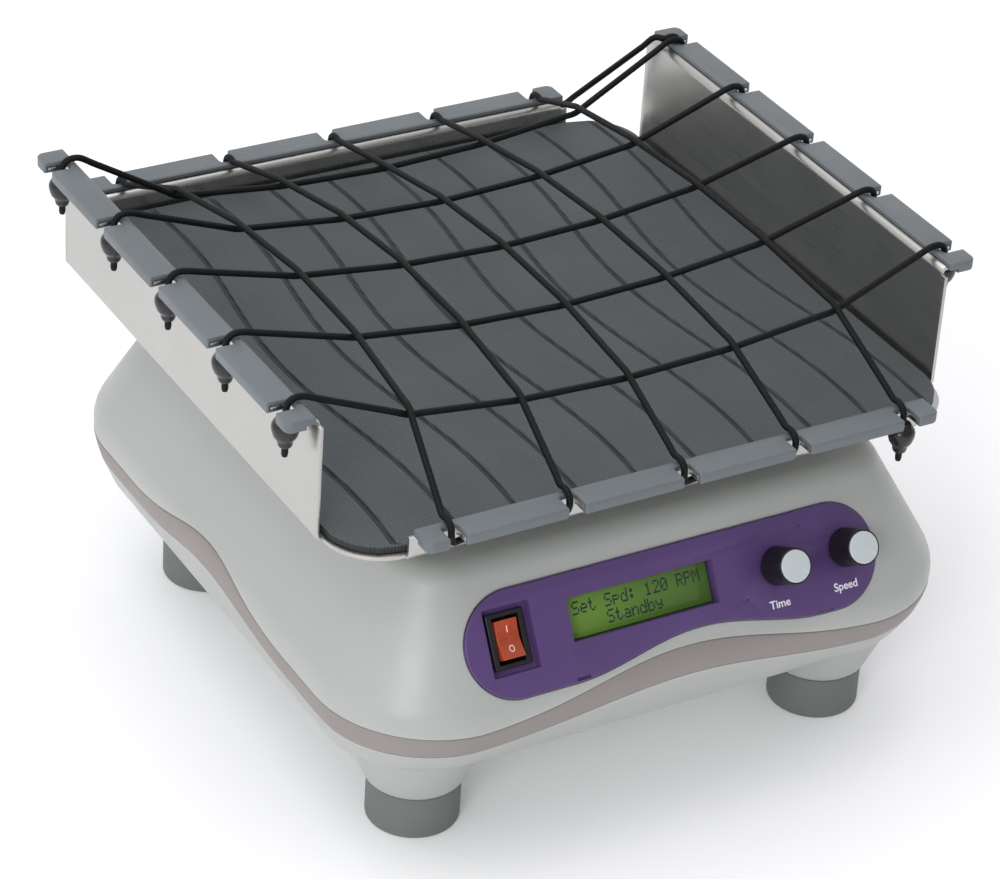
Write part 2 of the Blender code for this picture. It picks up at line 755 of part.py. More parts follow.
hub_profile = cup(18.0, CRANK_SHAFT + RUNNING, FRAME_BOTTOM, 82.0, FRAME_BOTTOM + 3.0)
bearing_frame = turned("bearing_frame", hub_profile, CAST_ALLOY, drive_axis)
post_profile = cup(POST_RADIUS, IDLER_PIN + RUNNING, FRAME_BOTTOM, POST_TOP, POST_TOP - 22.0)
for number, degrees in enumerate(IDLER_ANGLES, 1):
    place = (*polar(IDLER_REACH, degrees), 0.0)
    arm_size = (IDLER_REACH - 15.0, 12.0, 6.0)
    arm_mesh = block(arm_size, (0.5 * IDLER_REACH + 2.5, 0.0, FRAME_BOTTOM + 4.0))
    arm_data = mesh_from(arm_mesh, "frame_arm", False)
    arm_turn = (0.0, 0.0, math.radians(degrees))
    arm = add("frame_arm_" + str(number), arm_data, None, drive_axis, rotation=arm_turn)
    join(bearing_frame, arm)
    post_name = "idler_post_" + str(number)
    join(bearing_frame, turned(post_name, post_profile, None, drive_axis, place))

motor_x, motor_y = polar(MOTOR_REACH, MOTOR_ANGLE)
MOTOR_PROFILE = [
    (0.0, 98.0),
    (3.0, 98.0),
    (3.0, 82.0),
    (11.0, 82.0),
    (11.0, 80.0),
    (MOTOR_RADIUS - 1.5, 80.0),
    (MOTOR_RADIUS, 78.5),
    (MOTOR_RADIUS, FRAME_BOTTOM + 1.5),
    (MOTOR_RADIUS - 1.5, FRAME_BOTTOM),
    (0.0, FRAME_BOTTOM),
]
motor_axis = empty("motor_axis", (motor_x, motor_y, 0.0), drive_axis)
turned("motor", MOTOR_PROFILE, MOTOR_STEEL, motor_axis)


def pulley_profile(radius, bore, low, high):
    """A flanged belt pulley; bore is the radius of its hole, or 0 for a solid one."""
    rim = radius + 2.4
    return [
        (bore, high),
        (rim, high),
        (rim, BELT_Z[1] + 0.4),
        (radius, BELT_Z[1] + 0.2),
        (radius, BELT_Z[0] - 0.2),
        (rim, BELT_Z[0] - 0.4),
        (rim, low),
        (bore, low),
    ]


small = pulley_profile(MOTOR_PULLEY_RADIUS, 3.0 + RUNNING, 84.0, 96.0)
turned("motor_pulley", small, CAST_ALLOY, motor_axis, closed=True)


def belt_loop(radius_one, radius_two, reach, grow):
    """The outline of a belt round a circle at the origin and one at (reach, 0)."""
    lean = math.asin((radius_one - radius_two) / reach)
    points = []
    for step in range(25):
        angle = math.pi / 2 - lean + (math.pi + 2.0 * lean) * step / 24
        radius = radius_one + grow
        points.append((radius * math.cos(angle), radius * math.sin(angle)))
    for step in range(13):
        angle = -math.pi / 2 + lean + (math.pi - 2.0 * lean) * step / 12
        radius = radius_two + grow
        points.append((reach + radius * math.cos(angle), radius * math.sin(angle)))
    return points


def belt_mesh():
    bm = bmesh.new()
    loops = []
    for grow, z in ((SEAM, 0), (SEAM, 1), (SEAM + BELT_THICKNESS, 1), (SEAM + BELT_THICKNESS, 0)):
        loop = belt_loop(PULLEY_RADIUS, MOTOR_PULLEY_RADIUS, MOTOR_REACH, grow)
        loops.append([bm.verts.new((x, y, BELT_Z[z])) for x, y in loop])
    bridge(bm, loops + loops[:1])
    return mesh_from(bm, "drive_belt")


belt_turn = (0.0, 0.0, math.radians(MOTOR_ANGLE))
add("drive_belt", belt_mesh(), BELT_RUBBER, drive_axis, rotation=belt_turn)

# ---- crank, counterweight and idlers ----
crank_axis = empty("crank_axis", (0.0, 0.0, 0.0), drive_axis)
PULLEY_LOW = 84.0
PULLEY_HIGH = 96.0
CRANK_PROFILE = pulley_profile(PULLEY_RADIUS, 0.0, PULLEY_LOW, PULLEY_HIGH)[:-1] + [
    (CRANK_SHAFT, PULLEY_LOW),
    (CRANK_SHAFT, FRAME_BOTTOM + 4.0),
    (0.0, FRAME_BOTTOM + 4.0),
]
drive_crank = turned("drive_crank", CRANK_PROFILE, MACHINED_STEEL, crank_axis, steps=36)
PIN_TOP = CARRIER_Z[0] - 2.0
join(
    drive_crank,
    helper_rod("crank_pin", CRANK_PIN, PULLEY_HIGH - 2.0, PIN_TOP, crank_axis, (PIN_X, PIN_Y, 0.0)),
)


def weight_outline():
    points = []
    for step in range(13):
        x, y = polar(40.0, REST_ANGLE + 105.0 + 150.0 * step / 12)
        points.append((x, y))
    for step in range(13):
        x, y = polar(18.0, REST_ANGLE + 255.0 - 150.0 * step / 12)
        points.append((x, y))
    return points


weight = mesh_from(prism(weight_outline(), PULLEY_HIGH + SEAM, PULLEY_HIGH + 12.0), "counterweight")
add("counterweight", weight, MACHINED_STEEL, crank_axis)

IDLER_PROFILE = [
    (0.0, POST_TOP + 5.0),
    (15.5, POST_TOP + 5.0),
    (15.5, POST_TOP + 0.4),
    (IDLER_PIN, POST_TOP + 0.4),
    (IDLER_PIN, POST_TOP - 21.0),
    (0.0, POST_TOP - 21.0),
]
for number, degrees in enumerate(IDLER_ANGLES, 1):
    idler_axis = empty("idler_axis_" + str(number), (*polar(IDLER_REACH, degrees), 0.0), drive_axis)
    idler = turned("idler_crank_" + str(number), IDLER_PROFILE, MACHINED_STEEL, idler_axis)
    pin_name = "idler_pin_" + str(number)
    pin_at = (PIN_X, PIN_Y, 0.0)
    join(idler, helper_rod(pin_name, IDLER_PIN, POST_TOP + 3.0, PIN_TOP, idler_axis, pin_at))

HUB_RADIUS = 13.0
BOSS_RADIUS = 9.0
sweep = HUB_RADIUS + ECCENTRIC + 3.0
cut(upper_shell, helper_rod("hub_opening", sweep, 110.0, 140.0, drive_axis))
for number, degrees in enumerate(IDLER_ANGLES, 1):
    sweep = BOSS_RADIUS + ECCENTRIC + 2.5
    place = (*polar(IDLER_REACH, degrees), 0.0)
    cut(upper_shell, helper_rod("idler_opening_" + str(number), sweep, 115.0, 140.0, drive_axis, place))

# ---- control board ----
BOARD_Z = 62.0
board_frame = empty("board_frame", (0.0, BOARD_INSET - HALF_Y, 0.0), HOUSING)
main_board = block((112.0, 34.0, 1.6), (0.0, 0.0, BOARD_Z))
control_board = add(
    "control_board", mesh_from(main_board, "control_board", False), BOARD_GREEN, board_frame
)
for number, degrees in enumerate(IDLER_ANGLES, 1):
    relief_name = "board_relief_" + str(number)
    place = (*polar(IDLER_REACH, degrees), 0.0)
    relief = POST_RADIUS + HOLE_CLEARANCE
    cut(control_board, helper_rod(relief_name, relief, FRAME_BOTTOM, POST_TOP, drive_axis, place))
for number, (x, y) in enumerate(((-50.0, -12.0), (50.0, -12.0), (-50.0, 12.0), (50.0, 12.0)), 1):
    standoff_name = "standoff_" + str(number)
    standoff = helper_rod(standoff_name, 3.0, FRAME_BOTTOM, BOARD_Z, board_frame, (x, y, 0.0), 12)
    join(control_board, standoff)
COMPONENTS = [
    ("transformer", (28.0, 22.0, 20.0), -30.0),
    ("capacitor", (12.0, 12.0, 16.0), 0.0),
    ("heat_sink", (18.0, 20.0, 14.0), 24.0),
]
for label, size, x in COMPONENTS:
    part_centre = (x, 0.0, BOARD_Z + 0.5 * size[2])
    join(control_board, helper_block("board_" + label, size, part_centre, board_frame))

# ---- platform: carrier, tray, mat ----
platform_axis = empty("platform_axis", (PIN_X, PIN_Y, 0.0), crank_axis)
carrier_outline = rounded_rectangle(CARRIER_HALF, CARRIER_HALF, 20.0, 5)
carrier = add(
    "carrier", mesh_from(prism(carrier_outline, *CARRIER_Z), "carrier"), CAST_ALLOY, platform_axis
)
hub_top = CARRIER_Z[0] + 1.0
bore_top = CARRIER_Z[0] - 1.0
hub_shape = socket_down(HUB_RADIUS, CRANK_PIN + RUNNING, 112.0, hub_top, bore_top)
join(carrier, turned("carrier_hub", hub_shape, None, platform_axis))
boss_shape = socket_down(BOSS_RADIUS, IDLER_PIN + OPEN_PIVOT, 114.0, hub_top, bore_top)
for number, degrees in enumerate(IDLER_ANGLES, 1):
    place = (*polar(IDLER_REACH, degrees), 0.0)
    join(carrier, turned("carrier_boss_" + str(number), boss_shape, None, platform_axis, place))


NOTCH_ROOT = RAIL_OUTER - RAIL_WIDTH + RAIL_SPINE - 1.4
METAL_GAP = NOTCH_GAP - 0.4


def wall_section(height):
    """The sheet's outer face from the tray's base edge to the flange: (distance out, height)."""
    points = []
    low_radius = 2.5
    for step in range(3):
        angle = math.radians(-90.0 + 45.0 * step)
        x = WALL_OUTER - low_radius + low_radius * math.cos(angle)
        points.append((x, low_radius + low_radius * math.sin(angle)))
    under = height - SHEET
    top_radius = 1.5
    for step in range(3):
        angle = math.radians(180.0 - 45.0 * step)
        x = WALL_OUTER + top_radius + top_radius * math.cos(angle)
        points.append((x, under - top_radius + top_radius * math.sin(angle)))
    points.append((NOTCH_ROOT, under))
    points.append((RAIL_OUTER - RAIL_WEB - SEAM, under))
    return points


def wall_stations():
    """Positions along a wall where its sheet is divided, with whether a notch lies before each."""
    stations = [-WALL_HALF_LENGTH, -FLANGE_HALF_LENGTH]
    for notch in NOTCHES:
        stations.extend((notch - 0.5 * METAL_GAP, notch + 0.5 * METAL_GAP))
    stations.extend((FLANGE_HALF_LENGTH, WALL_HALF_LENGTH))
    return stations


def tray_mesh():
    bm = bmesh.new()
    stations = wall_stations()
    base_loop = []
    for quarter in range(4):
        height = SIDE_WALL_HEIGHT if quarter in (0, 2) else END_WALL_HEIGHT
        section = wall_section(height)
        out = Vector((math.cos(math.pi / 2 * quarter), math.sin(math.pi / 2 * quarter), 0.0))
        along = Vector((-out.y, out.x, 0.0))
        rows = []
        for station in stations:
            rows.append([bm.verts.new(out * x + along * station + Vector((0, 0, z))) for x, z in section])
        last = len(section) - 1
        for index, (row, following) in enumerate(zip(rows, rows[1:])):
            past_flange = index in (0, len(stations) - 2)
            for level in range(last):
                if level >= 3 and past_flange:
                    continue
                if level == last - 1 and in_notch_gap(index):
                    continue
                bm.faces.new((row[level], following[level], following[level + 1], row[level + 1]))
        base_loop.extend(row[0] for row in rows)
        radius = WALL_OUTER - 2.5 - WALL_HALF_LENGTH
        for step in range(1, TRAY_CORNER_STEPS):
            angle = math.radians(90.0 * (quarter + step / TRAY_CORNER_STEPS))
            corner = (out + along) * WALL_HALF_LENGTH
            place = corner + radius * Vector((math.cos(angle), math.sin(angle), 0.0))
            base_loop.append(bm.verts.new(place))
    bm.faces.new(base_loop)
    loose = [vert for vert in bm.verts if not vert.link_faces]
    bmesh.ops.delete(bm, geom=loose, context="VERTS")
    return mesh_from(bm, "tray")


def in_notch_gap(index):
    """True where the sheet between this station and the next is a cord notch."""
    return 2 <= index <= 2 * NOTCH_COUNT and index % 2 == 0


tray = add("tray", tray_mesh(), STEEL, platform_axis, (0.0, 0.0, TRAY_Z))
sheet = tray.modifiers.new("sheet", "SOLIDIFY")
sheet.thickness = SHEET * MM
sheet.offset = 1.0
sheet.use_even_offset = True


def groove_mesh():
    """Wavy ribs, one for each groove, that cut the mat's top from above."""
    bm = bmesh.new()
    top = MAT_TOP + 1.0
    low = MAT_TOP - GROOVE_DEPTH
    reach = 0.5 * MAT_SIDE + 2.0
    steps = 16
    for groove in range(GROOVE_COUNT):
        middle = GROOVE_PITCH * (groove - (GROOVE_COUNT - 1) / 2)
        rings = []
        for step in range(steps + 1):
            y = reach * (2.0 * step / steps - 1.0)
            x = middle - GROOVE_SWING * math.cos(2.0 * math.pi * y / GROOVE_WAVE)
            half = 0.5 * GROOVE_WIDTH
            corners = ((x - half, low), (x + half, low), (x + half, top), (x - half, top))
            rings.append([bm.verts.new((across, y, z)) for across, z in corners])
        bridge(bm, rings)
        bm.faces.new(rings[0])
        bm.faces.new(rings[-1])
    return mesh_from(bm, "mat_grooves", False)


MAT_LOW = SHEET + SEAM
MAT_TOP = MAT_LOW + MAT_THICKNESS
MAT_SIDE = 2.0 * (WALL_OUTER - SHEET - MAT_INSET)
mat_outline = rounded_rectangle(0.5 * MAT_SIDE, 0.5 * MAT_SIDE, 24.0, 6)
mat_mesh = mesh_from(prism(mat_outline, MAT_LOW, MAT_TOP), "mat")
tray_origin = (0.0, 0.0, TRAY_Z)
mat = add("mat", mat_mesh, MAT_RUBBER, platform_axis, tray_origin)
cut(mat, add("mat_grooves", groove_mesh(), None, platform_axis, tray_origin))


# ---- rails ----
def rail_outline():
    """A strip along X with rounded outer corners and a notch for each cord; Y points outwards."""
    end = RAIL_HALF_LENGTH
    radius = 3.0
    points = [(-end, 0.0), (end, 0.0)]
    for step in range(4):
        angle = math.radians(30.0 * step)
        across = RAIL_WIDTH - radius + radius * math.sin(angle)
        points.append((end - radius + radius * math.cos(angle), across))
    for notch in reversed(NOTCHES):
        right = notch + 0.5 * NOTCH_GAP
        left = notch - 0.5 * NOTCH_GAP
        points.extend(((right, RAIL_WIDTH), (right, RAIL_SPINE), (left, RAIL_SPINE), (left, RAIL_WIDTH)))
    for step in range(4):
        angle = math.radians(90.0 + 30.0 * step)
        across = RAIL_WIDTH - radius + radius * math.sin(angle)
        points.append((radius - end + radius * math.cos(angle), across))
    return points


FLANGE_SLOT = SHEET + 2.0 * SEAM
RAIL_BELOW = RAIL_BOTTOM_LEG + FLANGE_SLOT
rail_data = mesh_from(prism(rail_outline(), -RAIL_BELOW, RAIL_TOP_LEG), "rail")
SLOT_HALF = FLANGE_HALF_LENGTH + SEAM
rail_inner = RAIL_OUTER - RAIL_WIDTH
RAILS = [
    ("right", -90.0, SIDE_WALL_HEIGHT, (rail_inner, 0.0)),
    ("back", 0.0, END_WALL_HEIGHT, (0.0, rail_inner)),
    ("left", 90.0, SIDE_WALL_HEIGHT, (-rail_inner, 0.0)),
    ("front", 180.0, END_WALL_HEIGHT, (0.0, -rail_inner)),
]
for side, degrees, height, (rail_x, rail_y) in RAILS:
    place = (rail_x, rail_y, TRAY_Z + height + SEAM)
    spin = (0.0, 0.0, math.radians(degrees))
    rail = add("rail_" + side, rail_data, RAIL_PLASTIC, platform_axis, place, spin)
    bevel(rail, 0.5, 1)
    slot_depth = RAIL_WIDTH - RAIL_WEB
    slot_centre = (0.0, 0.5 * slot_depth - 0.01, -0.5 * FLANGE_SLOT)
    slot = block((2.0 * SLOT_HALF, slot_depth, FLANGE_SLOT), slot_centre)
    slot_data = mesh_from(slot, "rail_slot", False)
    cut(rail, add("rail_slot_" + side, slot_data, None, platform_axis, place, spin))
    foot_room = 4.0
    room = block((300.0, 2.0 * foot_room, RAIL_BELOW), (0.0, 0.0, -0.5 * RAIL_BELOW - 0.5 * FLANGE_SLOT))
    room_data = mesh_from(room, "rail_room", False)
    cut(rail, add("rail_room_" + side, room_data, None, platform_axis, place, spin))


# ---- cords ----
def net_point(column, row, side):
    """Where two cords cross; side is +1 for the cord that lies on top and -1 for the one below."""
    x = NOTCHES[column]
    y = NOTCHES[row]
    part_x = x / NOTCHES[-1]
    part_y = y / NOTCHES[-1]
    pull = 1.0 - NET_PULL * (1.0 - 0.4 * part_y**2)
    rise = NET_SIDE_RISE * part_x**2 - NET_END_FALL * part_y**2 - NET_TILT * part_y
    return (x * pull, y, TRAY_Z + NET_HEIGHT + rise + side * (CORD_RADIUS + NET_CLEARANCE))


def cord_end(height, direction, along, shift=0.0):
    """A cord's hook over a rail, from its hidden end inwards; direction is the wall's outward side."""
    top = height + SEAM + RAIL_TOP_LEG + CORD_RADIUS + SEAM
    shape = [
        (CORD_DROP, top - 21.5),
        (CORD_DROP, top - 4.6),
        (CORD_DROP - 0.4, top - 2.2),
        (CORD_DROP - 1.8, top - 0.5),
        (CORD_DROP - 4.4, top + 0.2),
        (CORD_DROP - 7.6, top - 0.2),
    ]
    out_x, out_y = direction
    points = []
    for distance, z in shape:
        place = (out_x * distance, out_y * distance)
        points.append((place[0] + abs(out_y) * along, place[1] + abs(out_x) * along + shift, TRAY_Z + z))
    return points


def cord(name, points):
    data = bpy.data.curves.new(name, "CURVE")
    data.dimensions = "3D"
    data.bevel_depth = CORD_RADIUS * MM
    data.bevel_resolution = 2
    data.use_fill_caps = True
    line = data.splines.new("POLY")
    line.points.add(len(points) - 1)
    for point, place in zip(line.points, points):
        point.co = (*(Vector(place) * MM), 1.0)
    return add(name, data, CORD_ELASTIC, platform_axis)


LEFT = (-1.0, 0.0)
RIGHT = (1.0, 0.0)
FRONT = (0.0, -1.0)
BACK = (0.0, 1.0)
COLUMNS = range(NOTCH_COUNT)
BACK_ROW = NOTCH_COUNT - 1

for row in range(BACK_ROW):
    y = NOTCHES[row]
    middle = [net_point(column, row, -1) for column in COLUMNS]
    right_end = cord_end(SIDE_WALL_HEIGHT, RIGHT, y)
    cord(
        "cord_across_" + str(row + 1),
        cord_end(SIDE_WALL_HEIGHT, LEFT, y) + middle + right_end[::-1],
    )


def lengthwise(column):
    """A cord's points from the back rail's hook to the front rail's."""
    x = NOTCHES[column]
    middle = [net_point(column, row, 1) for row in reversed(range(NOTCH_COUNT))]
    return cord_end(END_WALL_HEIGHT, BACK, x) + middle + cord_end(END_WALL_HEIGHT, FRONT, x)[::-1]


def looped_pair(name, first):
    """Two neighbouring lengthwise runs of one cord, joined under the front rail."""
    start = lengthwise(first)[:-1]
    finish = lengthwise(first + 1)[::-1][1:]
    under = TRAY_Z + END_WALL_HEIGHT - SHEET - SEAM - RAIL_BOTTOM_LEG - CORD_RADIUS - 1.6
    left_x = NOTCHES[first]
    right_x = NOTCHES[first + 1]
    turn_points = [
        (left_x + 0.3, -CORD_DROP + 0.2, under + 3.0),
        (left_x + 1.6, -CORD_DROP + 1.0, under + 0.9),
        (left_x + 4.6, -CORD_DROP + 2.4, under),
        (left_x + 9.0, -CORD_DROP + 3.2, under - 0.2),
        (right_x - 9.0, -CORD_DROP + 3.2, under - 0.2),
        (right_x - 4.6, -CORD_DROP + 2.4, under),
        (right_x - 1.6, -CORD_DROP + 1.0, under + 0.9),
        (right_x - 0.3, -CORD_DROP + 0.2, under + 3.0),
    ]
    cord(name, start + turn_points + finish)


looped_pair("cord_along_1_2", 0)
looped_pair("cord_along_3_4", 2)

# The last cord runs front to back, round the open corner, over the right rail, and back to the left.
corner_x = NOTCHES[-1]
corner_y = NOTCHES[-1]
rail_top = TRAY_Z + SIDE_WALL_HEIGHT
corner_run = lengthwise(NOTCH_COUNT - 1)[::-1][:-1]
corner_run += [
    (corner_x + 0.3, CORD_DROP - 0.1, TRAY_Z + END_WALL_HEIGHT - 4.6),
    (corner_x + 2.0, CORD_DROP - 0.4, TRAY_Z + END_WALL_HEIGHT - 6.4),
    (corner_x + 5.0, CORD_DROP - 0.8, TRAY_Z + END_WALL_HEIGHT - 6.9),
    (RAIL_HALF_LENGTH + 2.4, CORD_DROP - 1.8, TRAY_Z + END_WALL_HEIGHT - 5.0),
]
over = cord_end(SIDE_WALL_HEIGHT, RIGHT, corner_y, STRAND_OFFSET)
back = cord_end(SIDE_WALL_HEIGHT, RIGHT, corner_y, -STRAND_OFFSET)
corner_run += [(WALL_OUTER - 3.6, corner_y + 4.2, over[-1][2])]
corner_run += over[:0:-1]
corner_run += [
    (CORD_DROP, corner_y + 2.6, rail_top - 8.0),
    (CORD_DROP, corner_y + 3.4, rail_top - 11.5),
    (CORD_DROP, corner_y + 2.2, rail_top - 14.6),
    (CORD_DROP, corner_y, rail_top - 15.8),
    (CORD_DROP, corner_y - 2.2, rail_top - 14.6),
    (CORD_DROP, corner_y - 3.4, rail_top - 11.5),
    (CORD_DROP, corner_y - 2.6, rail_top - 8.0),
]
corner_run += back[1:]
corner_run += [net_point(column, BACK_ROW, -1) for column in reversed(COLUMNS)]
corner_run += cord_end(SIDE_WALL_HEIGHT, LEFT, corner_y)[::-1]
cord("cord_corner", corner_run)

STOPPER_BORE = CORD_RADIUS + 0.25
STOPPER_PROFILE = [
    (STOPPER_BORE, 0.0),
    (3.4, 0.0),
    (STOPPER_RADIUS, -4.2),
    (5.0, -9.0),
    (2.8, -STOPPER_LENGTH),
    (STOPPER_BORE, -STOPPER_LENGTH),
]
stopper_data = turned_mesh("stopper", STOPPER_PROFILE, True)


def stopper(name, direction, height, along):
    top = TRAY_Z + height - SHEET - SEAM - RAIL_BOTTOM_LEG - SEAM
    x = direction[0] * CORD_DROP + abs(direction[1]) * along
    y = direction[1] * CORD_DROP + abs(direction[0]) * along
    turn(add(name, stopper_data, STOPPER_RUBBER, platform_axis, (x, y, top)), 12)


for number, notch in enumerate(NOTCHES, 1):
    stopper("stopper_left_" + str(number), LEFT, SIDE_WALL_HEIGHT, notch)
for number, notch in enumerate(NOTCHES[:-1], 1):
    stopper("stopper_right_" + str(number), RIGHT, SIDE_WALL_HEIGHT, notch)
    stopper("stopper_back_" + str(number), BACK, END_WALL_HEIGHT, notch)
stopper("stopper_front_" + str(NOTCH_COUNT), FRONT, END_WALL_HEIGHT, NOTCHES[-1])


# ---- centre the object over the origin ----
def extent_y():
    bpy.context.view_layer.update()
    graph = bpy.context.evaluated_depsgraph_get()
    values = []
    for made in PARTS.objects:
        if made.type == "EMPTY":
            continue
        evaluated = made.evaluated_get(graph)
        data = evaluated.to_mesh()
        values.extend((evaluated.matrix_world @ vert.co).y for vert in data.vertices)
        evaluated.to_mesh_clear()
    return min(values), max(values)


front, back_edge = extent_y()
ROOT.location.y = -0.5 * (front + back_edge)
bpy.context.view_layer.update()
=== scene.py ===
"""Looks for the orbital shaker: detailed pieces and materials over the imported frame."""

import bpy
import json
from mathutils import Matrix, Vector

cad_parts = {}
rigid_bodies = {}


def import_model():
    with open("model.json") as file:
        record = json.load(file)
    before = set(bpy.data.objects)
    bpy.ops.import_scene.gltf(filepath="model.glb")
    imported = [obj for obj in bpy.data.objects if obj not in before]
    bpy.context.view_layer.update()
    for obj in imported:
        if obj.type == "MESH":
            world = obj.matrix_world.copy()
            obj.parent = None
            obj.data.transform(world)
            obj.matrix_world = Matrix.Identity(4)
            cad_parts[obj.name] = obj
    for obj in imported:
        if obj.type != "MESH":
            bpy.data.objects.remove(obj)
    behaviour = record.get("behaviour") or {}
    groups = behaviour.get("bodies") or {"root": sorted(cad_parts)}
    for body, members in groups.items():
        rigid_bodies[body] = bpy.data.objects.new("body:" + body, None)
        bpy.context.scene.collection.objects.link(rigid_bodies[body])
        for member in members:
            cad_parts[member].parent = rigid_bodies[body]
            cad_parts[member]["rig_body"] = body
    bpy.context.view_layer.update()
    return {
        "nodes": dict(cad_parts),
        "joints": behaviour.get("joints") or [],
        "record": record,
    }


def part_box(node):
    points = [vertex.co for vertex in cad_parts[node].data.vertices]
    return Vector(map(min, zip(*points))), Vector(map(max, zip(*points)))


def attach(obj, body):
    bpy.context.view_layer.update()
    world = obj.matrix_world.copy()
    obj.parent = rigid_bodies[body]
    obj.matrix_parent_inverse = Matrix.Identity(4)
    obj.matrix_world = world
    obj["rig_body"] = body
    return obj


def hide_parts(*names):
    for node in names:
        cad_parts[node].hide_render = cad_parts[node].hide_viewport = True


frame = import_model()

import json
import math

import bmesh
import bpy
from mathutils import Matrix, Vector

MM = 0.001
NODES = frame["nodes"]

for spare in ("Cube", "Light", "Camera"):
    if spare in bpy.data.objects and spare not in NODES:
        bpy.data.objects.remove(bpy.data.objects[spare], do_unlink=True)


def middle(node):
    low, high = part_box(node)
    return 0.5 * (low + high) / MM


TRAY = middle("tray")
TRAY.z = 0.0
HOUSING = middle("base_plate")
HOUSING.z = 0.0


# ---- materials ----
class Look:
    """A node material; every texture reads the row frame's own coordinates, in metres."""

    def __init__(self, name):
        self.made = bpy.data.materials.new(name)
        self.made.use_nodes = True
        self.tree = self.made.node_tree
        self.shader = self.tree.nodes["Principled BSDF"]
        self.where = self.tree.nodes.new("ShaderNodeTexCoord").outputs["Object"]

    def node(self, kind, inputs=None, **settings):
        made = self.tree.nodes.new("ShaderNode" + kind)
        for key, value in settings.items():
            setattr(made, key, value)
        for key, value in (inputs or {}).items():
            if isinstance(value, bpy.types.NodeSocket):
                self.tree.links.new(value, made.inputs[key])
            else:
                made.inputs[key].default_value = value
        return made

    def plug(self, socket, output):
        self.tree.links.new(output, self.shader.inputs[socket])

    def noise(self, scale, detail=3.0, stretch=None, roughness=0.55):
        place = self.where
        if stretch:
            place = self.node("Mapping", {"Vector": place, "Scale": stretch}).outputs[0]
        inputs = {"Vector": place, "Scale": scale, "Detail": detail, "Roughness": roughness}
        return self.node("TexNoise", inputs).outputs["Fac"]

    def spread(self, value, low, high, start=0.3, end=0.7):
        inputs = {"Value": value, "From Min": start, "From Max": end, "To Min": low, "To Max": high}
        return self.node("MapRange", inputs).outputs["Result"]

    def math(self, operation, one, two=0.0):
        return self.node("Math", {0: one, 1: two}, operation=operation).outputs[0]

    def blend(self, factor, one, two):
        made = self.node("Mix", data_type="RGBA")
        for socket, value in ((0, factor), (6, one), (7, two)):
            if isinstance(value, bpy.types.NodeSocket):
                self.tree.links.new(value, made.inputs[socket])
            else:
                made.inputs[socket].default_value = value
        return made.outputs[2]

    def bumps(self, *layers):
        """Each layer is (height, depth in metres)."""
        last = None
        for height, depth in layers:
            inputs = {"Height": height, "Distance": depth, "Strength": 1.0}
            if last is not None:
                inputs["Normal"] = last
            last = self.node("Bump", inputs).outputs["Normal"]
        self.plug("Normal", last)


def rgb(red, green, blue):
    """Screen colour values, 0 to 255, as linear light."""
    values = []
    for value in (red, green, blue):
        value /= 255.0
        values.append(value / 12.92 if value <= 0.04045 else ((value + 0.055) / 1.055) ** 2.4)
    return (*values, 1.0)


def tone(colour, share):
    return (colour[0] * share, colour[1] * share, colour[2] * share, 1.0)


def moulded(name, colour, rough, grain=0.00002, grain_scale=2200.0, cloud=0.05, metal=0.0, coat=0.0):
    """Moulded plastic, rubber or cast metal: cloudy tint, uneven sheen, fine grain and a painted highlight
    that lightens the edges.
    """
    look = Look(name)
    cloudy = look.spread(look.noise(14.0, 4.0), 0.0, 1.0)
    body = look.blend(cloudy, tone(colour, 1.0 - cloud), tone(colour, 1.0 + cloud))
    # Painted highlight: convex edges, found by pointiness, are lightened towards 1.35 times the colour.
    edge = look.node("NewGeometry").outputs["Pointiness"]
    rim = look.spread(edge, 0.0, 0.22, 0.52, 0.62)
    look.plug("Base Color", look.blend(rim, body, tone(colour, 1.35)))
    uneven = look.noise(60.0, 5.0)
    look.plug("Roughness", look.spread(uneven, rough - 0.05, rough + 0.06))
    look.shader.inputs["Metallic"].default_value = metal
    look.shader.inputs["Coat Weight"].default_value = coat
    look.shader.inputs["Coat Roughness"].default_value = 0.2
    fine = look.noise(grain_scale, 2.0)
    broad = look.noise(160.0, 2.0)
    look.bumps((broad, grain * 1.5), (fine, grain))
    return look.made


def brushed(name, colour, rough, stretch, depth=0.0000004):
    look = Look(name)
    lines = look.noise(1.0, 3.0, stretch, 0.7)
    cloudy = look.noise(9.0, 5.0)
    smears = look.noise(38.0, 4.0)
    streaked = look.blend(look.spread(lines, 0.0, 1.0), tone(colour, 0.95), tone(colour, 1.03))
    stained = look.blend(look.spread(cloudy, 0.0, 0.2), streaked, tone(colour, 0.85))
    look.plug("Base Color", stained)
    wide = look.spread(smears, rough - 0.02, rough + 0.03)
    look.plug("Roughness", look.math("ADD", wide, look.spread(lines, -0.04, 0.06)))
    look.shader.inputs["Metallic"].default_value = 1.0
    look.bumps((lines, depth))
    return look.made


# Heights in metres between which painted shade darkens the mat, from its top down into a groove.
GROOVE_FLOOR = 0.14165
GROOVE_LIP = 0.14222


